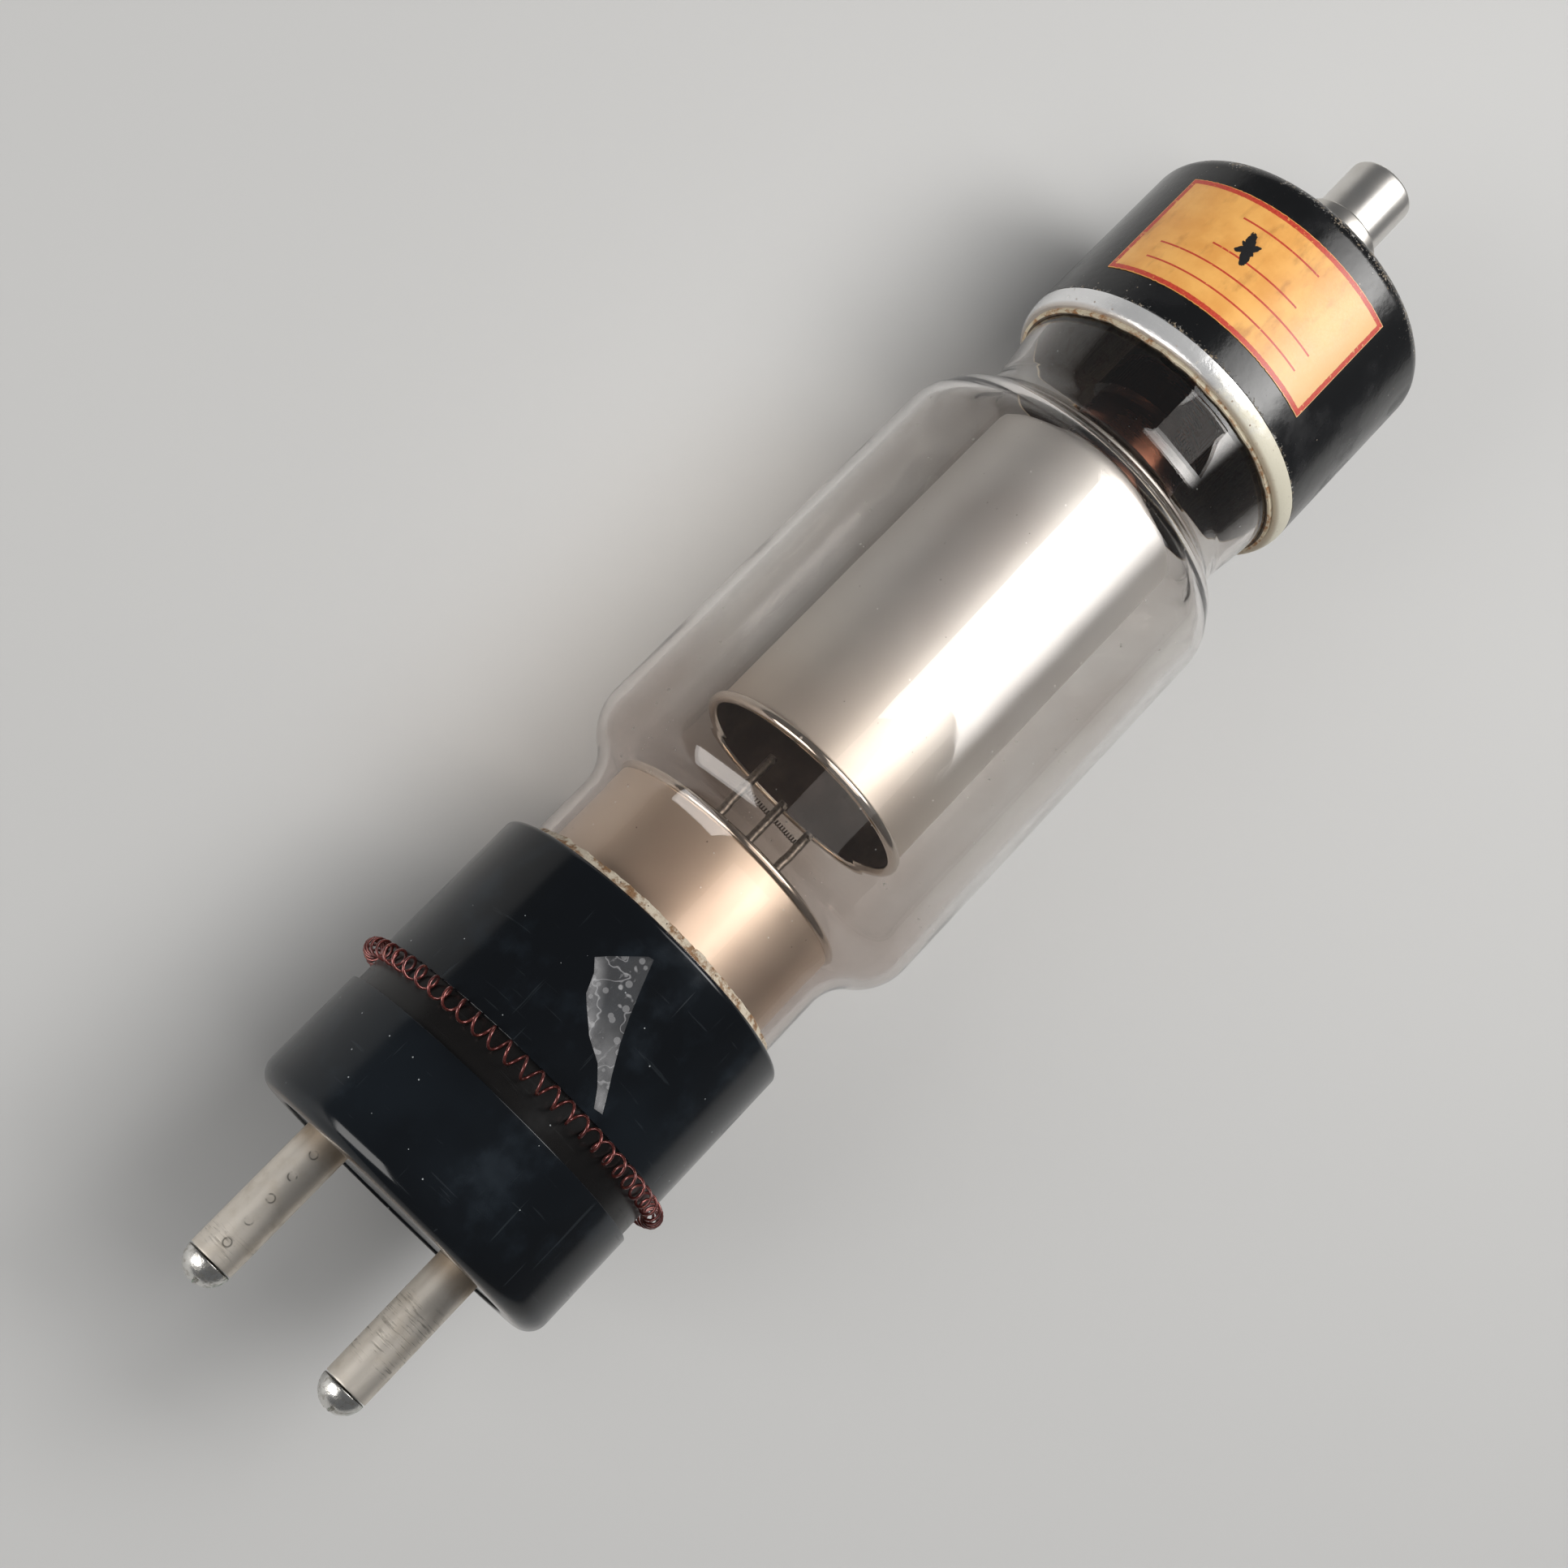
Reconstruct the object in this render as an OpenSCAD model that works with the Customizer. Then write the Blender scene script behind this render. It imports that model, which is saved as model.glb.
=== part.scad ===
// Two-pin high-voltage rectifier valve, lying on its side.
// The tube's axis is the X axis: pins towards -X, anode cap towards +X.
// The origin is the middle of the base's bottom face. All lengths are in millimetres.
// Each sub-part is drawn upright on its own Z axis, and lay() turns it onto X.

/* [Glass] */
// Outer diameter of the main glass cylinder
bulb_d = 63.5; // [52:0.5:77]
// Length of the straight part of the main glass cylinder
bulb_len = 69.5; // [57:0.5:84]
// Length of the shoulder at the cathode end
shoulder_low = 14; // [11:0.5:17]
// Length of the shoulder at the anode end
shoulder_top = 16; // [13:0.5:20]
// Outer diameter of the glass neck at the cathode end
neck_d = 49.6; // [41:0.2:50.6]
// Length of lower neck that shows between the base and the shoulder
neck_show = 12.5; // [10:0.5:15]
// Narrowest outer diameter of the glass neck at the anode end
top_neck_d = 48.8; // [40:0.2:50.6]
// Extra diameter that the anode neck gains where it enters the cap
top_neck_flare = 2.8; // [2:0.2:3.4]
// Length of upper neck that shows between the shoulder and the cap
top_neck_show = 10.2; // [8:0.2:12.4]
// Wall thickness of the bulb and both necks
glass_wall = 1.6; // [1.2:0.1:2]
// Depth of glass neck inside the base
neck_seat = 31.8; // [28:0.2:36]
// Depth of glass neck inside the cap
top_neck_seat = 24; // [20:0.5:28]

/* [Stems] */
// Outer diameter of the re-entrant tube that carries the cathode
stem_d = 22; // [19:0.5:26]
// Outer diameter of the re-entrant tube that carries the anode
anode_stem_d = 23; // [19:0.5:27]
// Wall thickness of both re-entrant tubes
stem_wall = 1.4; // [1.1:0.1:1.7]
// Straight length of the cathode stem above its flare
stem_len = 13.6; // [12:0.2:16.4]
// Height of the flattened glass press
press_h = 10; // [8:0.5:12]
// Thickness of the flattened glass press
press_t = 7; // [6:0.5:8.4]
// Outer diameter of the sealed-off exhaust tube
exhaust_d = 5; // [4.2:0.2:6]

/* [Base] */
// Height of the moulded base
base_h = 54; // [50:0.5:65]
// Wall thickness of the moulded base
base_wall = 3; // [2.5:0.1:3.6]
// Radius of the round on the base's bottom edge
base_round = 3.4; // [2.8:0.1:4]
// Radius of the round on the base's top edge
base_top_round = 0.9; // [0.7:0.1:1.1]
// Height of the spring groove's lower edge above the base's bottom
groove_z = 20.3; // [17:0.1:24.4]
// Width of the spring groove
groove_w = 6.9; // [5.7:0.1:8.3]
// Depth of the spring groove
groove_depth = 0.8; // [0.6:0.1:1]
// Thickness of the lip that the bottom plate rests on
lip_h = 5; // [4.1:0.1:6]
// Width of the lip that the bottom plate rests on
lip_w = 3; // [2.5:0.1:3.6]
// Thickness of the bottom plate above the lip
plate_t = 3; // [2.5:0.1:3.6]
// Depth of the bottom plate's face below the rim of the base
plate_recess = 0.4; // [0.3:0.1:0.5]
// Thickness of the cement between base and glass
cement_t = 0.8; // [0.6:0.1:1]
// Outer diameter of the coil of the garter spring
spring_coil_d = 3.3; // [2.7:0.1:4]

/* [Pins] */
// Diameter of the contact pins
pin_d = 7.94; // [6.6:0.02:9.56]
// Distance between the middles of the two pins
pin_pitch = 28.575; // [23.8:0.005:34.3]
// Length of pin that stands out of the base, with its round tip
pin_len = 27.4; // [22.8:0.1:33]
// Diameter of the shank that goes through the bottom plate
pin_shank_d = 6.2; // [5.2:0.1:6.6]
// Diameter of the riveted head that holds a pin in the plate
pin_head_d = 11; // [9.9:0.1:13.2]

/* [Cathode] */
// Radial gap between the cathode shield and the glass neck
shield_gap = 1.3; // [1:0.1:1.6]
// Sheet thickness of the cathode shield
shield_wall = 0.7; // [0.5:0.1:0.9]
// Height of the shield's rim above the base's top
shield_reach = 20; // [17:0.5:24]
// Length of the cathode shield
shield_len = 38; // [33:0.5:45]
// Distance between neighbouring filament posts
post_pitch = 6.6; // [5.5:0.1:7.9]
// Diameter of the filament posts
post_d = 1.6; // [1.3:0.1:1.9]
// Height of the tallest post above the shield's rim
post_reach = 16.6; // [14:0.2:20]
// Diameter of the filament's coil
filament_coil_d = 1.2; // [1:0.1:1.4]
// Diameter of the filament's wire
filament_wire_d = 0.24; // [0.2:0.02:0.28]

/* [Anode] */
// Outer diameter of the anode
anode_d = 38.2; // [31.8:0.2:45.8]
// Length of the anode
anode_len = 71.8; // [59.8:0.2:86.2]
// Sheet thickness of the anode
anode_wall = 0.8; // [0.6:0.1:1]
// Radius of the round at the anode's closed end
anode_round = 3.2; // [2.6:0.1:3.9]
// Diameter of the bead on the anode's open rim
bead_d = 1.9; // [1.6:0.1:2.3]
// Length of the stud between the anode and the seal cup
stud_len = 4.5; // [3.7:0.1:5.4]
// Diameter of the stud between the anode and the seal cup
stud_d = 10; // [8.3:0.1:12]

/* [Cap] */
// Length of the cap's cylinder
cap_len = 32; // [30:0.5:38.5]
// Sheet thickness of the cap
cap_wall = 0.8; // [0.6:0.1:1]
// Thickness of the cement between cap and glass
cap_cement_t = 1.6; // [1.3:0.1:2]
// Radius of the round on the cap's top edge
cap_round = 3.5; // [2.9:0.1:4.2]
// Slope of the cap's top, in degrees
cap_slope = 26; // [21.5:0.5:31]
// Height of the tinned ring under the cap
rim_h = 3.2; // [2.6:0.1:3.9]
// Diameter of the terminal's collar
collar_d = 15.6; // [13:0.1:18.8]
// Height of the terminal's collar
collar_h = 6.3; // [5.2:0.1:7.6]
// Diameter of the anode terminal
terminal_d = 12.6; // [11.4:0.1:15.2]
// Length of the anode terminal
terminal_len = 12.2; // [10.1:0.1:14.7]
// Width of the label, measured around the cap
label_w = 43.5; // [36.2:0.1:52.2]
// Height of the label, measured along the cap
label_h = 22.6; // [18.8:0.1:26]
// Angle of the label's middle from the top of the tube, in degrees
label_turn = 27.5; // [0:0.5:60]

/* [Hidden] */
$fn = 96;
ARC = 10;                  // steps in one rounded stretch of an outline
FIT = 0.05;                // radial clearance of a piece pushed into a hole
LABEL_T = 0.15;            // thickness of the label's paper
TIP_GAP = 0.25;            // height of the fine seam between a pin and its tip

// Lengths that place the pieces near the cap
cap_cement_show = 0.6;     // height of the cement that shows below the tinned ring
seal_set_back = 0.4;       // gap between the anode stem's open end and the end of the upper neck's flare
seal_cup_bare = 9.4;       // length of the seal cup outside the glass
seal_cup_sealed = 8;       // length of the seal cup inside the glass

// Radii
bulb_r = bulb_d / 2;
neck_r = neck_d / 2;
neck_in_r = neck_r - glass_wall;
top_neck_r = top_neck_d / 2;
cap_neck_r = top_neck_r + top_neck_flare / 2;
cap_neck_in_r = cap_neck_r - glass_wall;
base_bore_r = neck_r + cement_t;
base_r = base_bore_r + base_wall;
groove_r = base_r - groove_depth;
stem_r = stem_d / 2;
anode_stem_r = anode_stem_d / 2;
seal_cup_r = anode_stem_r - stem_wall;
pin_r = pin_d / 2;
shield_r = neck_in_r - shield_gap;
shield_in_r = shield_r - shield_wall;
post_r = post_d / 2;
anode_r = anode_d / 2;
bead_r = bead_d / 2;
cap_bore_r = cap_neck_r + cap_cement_t;
cap_r = cap_bore_r + cap_wall;
collar_r = collar_d / 2;
terminal_r = terminal_d / 2;
spring_r = spring_coil_d / 2;

// Stations along the tube, measured from the base's bottom face
plate_top = lip_h + plate_t;
neck_z0 = base_h - neck_seat;
shoulder_z0 = base_h + neck_show;
bulb_z0 = shoulder_z0 + shoulder_low;
bulb_z1 = bulb_z0 + bulb_len;
top_neck_z0 = bulb_z1 + shoulder_top;
flare_z1 = top_neck_z0 + top_neck_show;
cap_z0 = flare_z1 + rim_h + cap_cement_show;
glass_z1 = cap_z0 + top_neck_seat;
stem_bend_r = neck_in_r - stem_r;
stem_z0 = neck_z0 + stem_bend_r;
stem_z1 = stem_z0 + stem_len;
press_z1 = stem_z1 + press_h;
shield_z1 = base_h + shield_reach;
shield_z0 = shield_z1 - shield_len;
anode_stem_bend_r = cap_neck_in_r - anode_stem_r;
anode_stem_z1 = glass_z1 - anode_stem_bend_r;
anode_stem_z0 = flare_z1 - seal_set_back;
seal_cup_z0 = anode_stem_z0 - seal_cup_bare;
seal_cup_z1 = anode_stem_z0 + seal_cup_sealed;
anode_z1 = seal_cup_z0 - stud_len;
anode_z0 = anode_z1 - anode_len;
cap_z1 = cap_z0 + cap_len;
cap_flat_r = collar_r + 1.2;
cap_corner_turn = 90 - cap_slope;
cap_edge_r = cap_r - cap_round * (1 - cos(cap_corner_turn));
cap_edge_z = cap_z1 + cap_round * sin(cap_corner_turn);
cap_top_z = cap_edge_z + (cap_edge_r - cap_flat_r) * tan(cap_slope);
collar_z1 = cap_top_z + collar_h;
terminal_z1 = collar_z1 + terminal_len;
pin_tip_z = pin_r - pin_len;

// Small features
stem_end_t = 2;            // thickness of the glass that closes the cathode stem
press_w = stem_d - 2;      // width of the flattened press
vent_x = 6;                // distance of the exhaust tube from the axis
vent_wall = 0.9;           // wall thickness of the exhaust tube
tip_clear = 4;             // gap between the exhaust tip and the bottom plate
wire_r = 1;                // radius of the wires inside the base
lead_drop = 12;            // length of seal lead below the closed end of the stem
mid_post_seat = 6;         // depth of the middle post in the press
post_drop = [0, 3.7, 3.4]; // how much each post is lower than the tallest one
disc_z = shield_z1 - 8;    // lower face of the focusing disc
disc_t = 0.8;              // thickness of the focusing disc
bushing_r = post_r + 1.1;  // outer radius of the ceramic bushings
bushing_h = 4;             // height of the ceramic bushings
collar_band_t = 0.8;       // thickness of the clamp band on the cathode stem
collar_band_h = 7;         // height of the clamp band on the cathode stem
collar_band_z = stem_z0 + 3.6;
spider_t = 0.8;            // thickness of the disc that carries the shield
spigot_r = 4.4;            // radius of the terminal's spigot
peen_t = 1.2;              // height of the peened head inside the cap
lead_r = 1.2;              // radius of the anode lead
stud_spigot_r = 3;         // radius of the stud where it goes through the anode
pin_head_t = 1.5;          // thickness of a pin's riveted head
plug_r = 1.6;              // radius of the plug of a pin's tip
plug_len = 4;              // length of the plug of a pin's tip
wire_seat_z = 3;           // lower end of the hole for the wire in a pin
dent_r = 1.3;              // radius of the ball that makes a dent in a pin
dent_depth = 0.16;         // depth of a dent in a pin
dent_first = 2.6;          // distance of the first dent from the base's bottom
dent_pitch = 4.3;          // distance between neighbouring dents
dent_turn = 165;           // angle of the row of dents around the pin, in degrees
base_cement_bead = 0.3;    // height of the cement that stands above the base
pin_wire_rise = 6;         // height above the plate at which a base wire turns down into its pin
label_share = 0.58;        // share of the cap's free length that lies below the label
seal_cup_wall = 0.8;       // sheet thickness of the seal cup

// Turns a piece drawn on the Z axis onto the X axis, with -X of the drawing upwards.
module lay() { rotate([0, 90, 0]) children(); }

// Points of an arc about a centre given as [radius, height], from angle a0 to a1.
function arc(centre, r, a0, a1) =
    [for (i = [0 : ARC]) centre + r * [cos(a0 + (a1 - a0) * i / ARC), sin(a0 + (a1 - a0) * i / ARC)]];

// Angle that both arcs of an S-shaped shoulder turn through.
function s_turn(dr, dz) = 2 * atan(dr / dz);

// Points of an S-shaped shoulder from [r0, z0] out to [r1, z1], moved inwards by a wall.
function s_curve(r0, z0, r1, z1, wall = 0) =
    let (turn = s_turn(r1 - r0, z1 - z0), bend = (z1 - z0) / (2 * sin(turn)))
    concat(
        [for (i = [0 : ARC]) let (a = turn * i / ARC)
            [r0 + bend - (bend + wall) * cos(a), z0 + (bend + wall) * sin(a)]],
        [for (i = [ARC - 1 : -1 : 0]) let (a = turn * i / ARC)
            [r1 - bend + (bend - wall) * cos(a), z1 - (bend - wall) * sin(a)]]
    );

// The same outline upside down about the height z.
function flip(points, z) = [for (i = [len(points) - 1 : -1 : 0]) [points[i][0], 2 * z - points[i][1]]];

// One wall of the envelope, from the lower end of the glass to the upper end.
function envelope_side(wall) = concat(
    [[neck_r - wall, neck_z0]],
    s_curve(neck_r, shoulder_z0, bulb_r, bulb_z0, wall),
    flip(s_curve(top_neck_r, bulb_z1, bulb_r, top_neck_z0, wall), (bulb_z1 + top_neck_z0) / 2),
    s_curve(top_neck_r, top_neck_z0, cap_neck_r, flare_z1, wall),
    [[cap_neck_r - wall, glass_z1]]
);

// Backwards copy of a list of points.
function reversed(points) = [for (i = [len(points) - 1 : -1 : 0]) points[i]];

// Tube on the Z axis between two heights.
module tube(r_out, r_in, z0, z1) {
    translate([0, 0, z0]) difference() {
        cylinder(r = r_out, h = z1 - z0);
        translate([0, 0, -1]) cylinder(r = r_in, h = z1 - z0 + 2);
    }
}

// Round bar between two points, with square ends.
module bar(a, b, r) {
    d = b - a;
    translate(a) rotate([0, acos(d[2] / norm(d)), atan2(d[1], d[0])]) cylinder(r = r, h = norm(d), $fn = 32);
}

// Bent wire through a list of points, with square ends and a bead at each bend.
module wire(points, r) {
    bead = 1.08 * r;
    for (i = [0 : len(points) - 2]) bar(points[i], points[i + 1], r);
    for (i = [1 : len(points) - 2]) translate(points[i]) sphere(r = bead, $fn = 32);
}

// Coil of round wire along Y, drawn as rings of corners joined by faces.
module coil(coil_r, wire_r, turns, pitch, steps = 12, sides = 6) {
    count = turns * steps;
    ring = [for (i = [0 : count]) for (j = [0 : sides - 1])
        let (a = 360 * i / steps, b = 360 * j / sides, r = coil_r + wire_r * cos(b))
        [r * cos(a), pitch * i / steps + wire_r * sin(b), r * sin(a)]];
    wall = [for (i = [0 : count - 1]) for (j = [0 : sides - 1])
        let (k = (j + 1) % sides)
        [i * sides + j, (i + 1) * sides + j, (i + 1) * sides + k, i * sides + k]];
    ends = [[for (j = [0 : sides - 1]) j], [for (j = [sides - 1 : -1 : 0]) count * sides + j]];
    polyhedron(points = ring, faces = concat(wall, ends), convexity = 10);
}

module base_shell() {
    color("#15171a") rotate_extrude() polygon(concat(
        [[base_bore_r - lip_w, 0]],
        arc([base_r - base_round, base_round], base_round, -90, 0),
        [[base_r, groove_z], [groove_r, groove_z],
         [groove_r, groove_z + groove_w], [base_r, groove_z + groove_w]],
        arc([base_r - base_top_round, base_h - base_top_round], base_top_round, 0, 90),
        [[base_bore_r, base_h], [base_bore_r, lip_h], [base_bore_r - lip_w, lip_h]]
    ));
}

module base_plate() {
    color("#1b1c1e") difference() {
        union() {
            translate([0, 0, plate_recess])
                cylinder(r = base_bore_r - lip_w - FIT, h = plate_top - plate_recess);
            translate([0, 0, lip_h]) cylinder(r = base_bore_r - FIT, h = plate_t);
        }
        for (side = [-1, 1]) translate([0, side * pin_pitch / 2, -1])
            cylinder(d = pin_shank_d, h = plate_top + 2);
    }
}

// Turned pin: its shank goes through the plate, is riveted over it and holds a wire in its end.
module contact_pin() {
    color("#b9b2a4") difference() {
        union() {
            translate([0, 0, pin_tip_z + TIP_GAP])
                cylinder(r = pin_r, h = plate_recess - pin_tip_z - TIP_GAP);
            translate([0, 0, plate_recess])
                cylinder(d = pin_shank_d, h = plate_top + pin_head_t - plate_recess);
            translate([0, 0, plate_top]) cylinder(d = pin_head_d, h = pin_head_t);
        }
        translate([0, 0, pin_tip_z]) cylinder(r = plug_r, h = plug_len);
        translate([0, 0, wire_seat_z]) cylinder(r = wire_r, h = plate_top + pin_head_t, $fn = 32);
    }
}

module contact_pin_a() {
    dents = 5;
    translate([0, pin_pitch / 2, 0]) difference() {
        contact_pin();
        for (i = [0 : dents - 1])
            rotate([0, 0, dent_turn])
                translate([pin_r + dent_r - dent_depth, 0, -dent_first - dent_pitch * i])
                    sphere(r = dent_r, $fn = 32);
    }
}

module contact_pin_b() {
    translate([0, -pin_pitch / 2, 0]) contact_pin();
}

// Round tip with a plug that is pressed into the end of the pin.
module pin_tip() {
    slot_w = 0.8;
    slot_depth = 1.1;
    color("#d8d6d0") translate([0, 0, pin_tip_z]) {
        difference() {
            intersection() {
                sphere(r = pin_r);
                translate([-pin_r, -pin_r, -pin_r]) cube([pin_d, pin_d, pin_r]);
            }
            translate([-pin_d, -slot_w / 2, -pin_r - 1]) cube([2 * pin_d, slot_w, 1 + slot_depth]);
        }
        cylinder(r = plug_r, h = plug_len);
    }
}

module pin_tip_a() { translate([0, pin_pitch / 2, 0]) pin_tip(); }
module pin_tip_b() { translate([0, -pin_pitch / 2, 0]) pin_tip(); }

// Closed ring of the spring's outer size, lying against the groove's upper side.
module garter_spring() {
    color("#8c4234") translate([0, 0, groove_z + groove_w - spring_r])
        rotate_extrude() translate([groove_r + spring_r, 0]) circle(r = spring_r, $fn = 32);
}

module base_cement() {
    color("#c8b48c") tube(base_bore_r, neck_r, neck_z0, base_h + base_cement_bead);
}

// Wire from a seal lead down into the end of a pin.
module base_wire(side) {
    z_lead = stem_z1 - lead_drop;
    z_pin = plate_top + pin_wire_rise;
    lead_end = 3;              // straight end that is brazed to the seal lead
    color("#a8643c") wire([
        [0, side * post_pitch, z_lead], [0, side * post_pitch, z_lead - lead_end],
        [0, side * pin_pitch / 2, z_pin], [0, side * pin_pitch / 2, wire_seat_z]
    ], wire_r);
}

module base_wire_a() { base_wire(1); }
module base_wire_b() { base_wire(-1); }

module glass_envelope() {
    color("#c9c4be", 0.35) rotate_extrude()
        polygon(concat(envelope_side(0), reversed(envelope_side(glass_wall))));
}

// Flared tube, closed at its upper end by the press that holds the leads.
module cathode_stem() {
    color("#b8c4b4", 0.5) difference() {
        union() {
            rotate_extrude() polygon(concat(
                [[neck_r, neck_z0], [neck_r, neck_z0 - stem_wall]],
                reversed(arc([neck_in_r, stem_z0], stem_bend_r + stem_wall, 180, 270)),
                [[stem_r - stem_wall, stem_z1 - stem_end_t], [0, stem_z1 - stem_end_t], [0, stem_z1],
                 [stem_r, stem_z1]],
                arc([neck_in_r, stem_z0], stem_bend_r, 180, 270)
            ));
            translate([-press_t / 2, -press_w / 2, stem_z1 - stem_end_t / 2])
                cube([press_t, press_w, press_h + stem_end_t / 2]);
        }
        for (side = [-1, 1]) translate([0, side * post_pitch, stem_z1 - stem_end_t - 1])
            cylinder(r = post_r, h = press_h + stem_end_t + 2);
        translate([0, 0, press_z1 - mid_post_seat]) cylinder(r = post_r, h = mid_post_seat + 1);
        translate([vent_x, 0, stem_z1 - stem_end_t - 1])
            cylinder(r = exhaust_d / 2 - vent_wall, h = stem_end_t + 2);
    }
}

// Exhaust tube under the closed end of the stem, drawn to a point where it was sealed off.
module exhaust_tip() {
    r = exhaust_d / 2;
    z0 = plate_top + tip_clear;
    z1 = stem_z1 - stem_end_t;
    color("#b8c4b4", 0.5) translate([vent_x, 0, 0]) rotate_extrude() polygon([
        [0, z0], [r * 0.45, z0 + 1.2], [r, z0 + 6], [r, z1],
        [r - vent_wall, z1], [r - vent_wall, z0 + 7], [0, z0 + 4]
    ]);
}

module seal_lead(side) {
    color("#6f6a66") translate([0, side * post_pitch, stem_z1 - lead_drop])
        cylinder(r = post_r, h = lead_drop + press_h);
}

module seal_lead_a() { seal_lead(1); }
module seal_lead_b() { seal_lead(-1); }

// Split band clamped round the cathode stem.
module stem_collar() {
    slit = 1.6;
    ear = 3;
    r = stem_r + collar_band_t;
    color("#a9a294") translate([0, 0, collar_band_z]) {
        difference() {
            union() {
                tube(r, stem_r, 0, collar_band_h);
                translate([stem_r + collar_band_t / 2, -slit / 2 - collar_band_t, 0])
                    cube([ear, slit + 2 * collar_band_t, collar_band_h]);
            }
            translate([0, -slit / 2, -1]) cube([r + ear + 1, slit, collar_band_h + 2]);
        }
    }
}

// Disc with round windows between the clamp band and the shield.
module shield_spider() {
    windows = 6;
    inner = stem_r + collar_band_t;
    window_r = (shield_in_r - inner) * 0.26;
    color("#a9a294") difference() {
        tube(shield_in_r, inner, collar_band_z + collar_band_h - spider_t, collar_band_z + collar_band_h);
        for (i = [0 : windows - 1]) rotate([0, 0, 30 + i * 360 / windows])
            translate([(shield_in_r + inner) / 2, 0, collar_band_z])
            cylinder(r = window_r, h = 2 * collar_band_h);
        translate([0, -4, collar_band_z]) cube([inner + 3.4, 8, 2 * collar_band_h]);
    }
}

module cathode_shield() {
    color("#b5ab98") tube(shield_r, shield_in_r, shield_z0, shield_z1 - bead_r);
}

// Rolled bead on the shield's upper edge.
module shield_rim() {
    color("#cbc4b4") translate([0, 0, shield_z1 - bead_r]) difference() {
        rotate_extrude() translate([shield_r - shield_wall / 2, 0]) circle(r = bead_r, $fn = 32);
        translate([0, 0, -bead_d]) tube(shield_r, shield_in_r, 0, bead_d);
    }
}

module focusing_disc() {
    color("#a9a294") translate([0, 0, disc_z]) difference() {
        cylinder(r = shield_in_r, h = disc_t);
        for (i = [-1 : 1])
            translate([0, i * post_pitch, -1]) cylinder(r = bushing_r, h = disc_t + 2, $fn = 32);
    }
}

module post_bushings() {
    z0 = disc_z + (disc_t - bushing_h) / 2;
    color("#e4ded0") for (i = [-1 : 1]) translate([0, i * post_pitch, 0])
        tube(bushing_r, post_r, z0, z0 + bushing_h, $fn = 32);
}

// Straight post that holds the filament; a short pin across its tip is the hook.
module filament_post(place, z0, drop) {
    hook_r = 0.35;
    z1 = shield_z1 + post_reach - drop;
    color("#8a8680") translate([0, place * post_pitch, 0]) {
        translate([0, 0, z0]) cylinder(r = post_r, h = z1 - z0, $fn = 32);
        translate([-post_d, 0, z1 - 1]) rotate([0, 90, 0]) cylinder(r = hook_r, h = 2 * post_d, $fn = 32);
    }
}

module filament_post_a() { filament_post(1, press_z1, post_drop[0]); }
module filament_post_b() { filament_post(-1, press_z1, post_drop[1]); }
module filament_post_mid() { filament_post(0, press_z1 - mid_post_seat, post_drop[2]); }

// Coiled filament on the far side of the posts, with a straight leg to each outer post.
module filament() {
    wire_half = filament_wire_d / 2;
    leg_r = 1.3 * wire_half;
    coil_r = filament_coil_d / 2 - wire_half;
    span = 2 * post_pitch;
    turns = 24;
    coil_gap = 0.6;            // gap between the coil and the posts
    below_tip = 3;             // height of the shortest post's tip above the coil
    weld = 0.05;               // depth that a leg is welded into its post
    x0 = -post_r - filament_coil_d / 2 - coil_gap;
    x1 = x0 + coil_r;
    z0 = shield_z1 + post_reach - max(post_drop) - below_tip;
    color("#75706c") rotate([0, 0, 180]) {
        translate([x0, -span / 2, z0]) coil(coil_r, wire_half, turns, span / turns);
        for (side = [-1, 1]) translate([x1 - leg_r, side * span / 2, z0])
            rotate([0, 90, 0]) cylinder(r = leg_r, h = leg_r - x1 - post_r + weld, $fn = 24);
    }
}

// Deep cup, open towards the filament, with a hole for the stud in its closed end.
module anode_cup() {
    inner_round = anode_round - anode_wall;
    color("#c3beb3") rotate_extrude() polygon(concat(
        [[anode_r, anode_z0 + bead_r]],
        arc([anode_r - anode_round, anode_z1 - anode_round], anode_round, 0, 90),
        [[stud_spigot_r, anode_z1], [stud_spigot_r, anode_z1 - anode_wall]],
        reversed(arc([anode_r - anode_round, anode_z1 - anode_round], inner_round, 0, 90)),
        [[anode_r - anode_wall, anode_z0 + bead_r]]
    ));
}

// Rolled bead on the anode's open edge, standing outwards.
module anode_rim() {
    color("#d9d4c8") translate([0, 0, anode_z0 + bead_r]) difference() {
        rotate_extrude() translate([anode_r - anode_wall + bead_r, 0]) circle(r = bead_r, $fn = 32);
        tube(anode_r, anode_r - anode_wall - 1, 0, bead_d);
    }
}

// Stud with a riveted head inside the anode.
module anode_stud() {
    head_t = 1.2;
    color("#8d8a84") {
        translate([0, 0, anode_z1]) cylinder(d = stud_d, h = stud_len);
        translate([0, 0, anode_z1 - anode_wall]) cylinder(r = stud_spigot_r, h = anode_wall);
        translate([0, 0, anode_z1 - anode_wall - head_t]) cylinder(d = stud_d, h = head_t);
    }
}

// Copper cup whose wall is sealed inside the glass of the anode stem.
module seal_cup() {
    color("#8a4a2e") difference() {
        translate([0, 0, seal_cup_z0]) cylinder(r = seal_cup_r, h = seal_cup_z1 - seal_cup_z0);
        translate([0, 0, seal_cup_z0 + seal_cup_wall])
            cylinder(r = seal_cup_r - seal_cup_wall, h = seal_cup_z1);
    }
}

// Flared tube that carries the anode.
module anode_stem() {
    color("#c9c4be", 0.4) rotate_extrude() polygon(concat(
        [[seal_cup_r, anode_stem_z0], [anode_stem_r, anode_stem_z0]],
        reversed(arc([cap_neck_in_r, anode_stem_z1], anode_stem_bend_r, 90, 180)),
        [[cap_neck_r, glass_z1], [cap_neck_r, glass_z1 + stem_wall]],
        arc([cap_neck_in_r, anode_stem_z1], anode_stem_bend_r + stem_wall, 90, 180)
    ));
}

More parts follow.
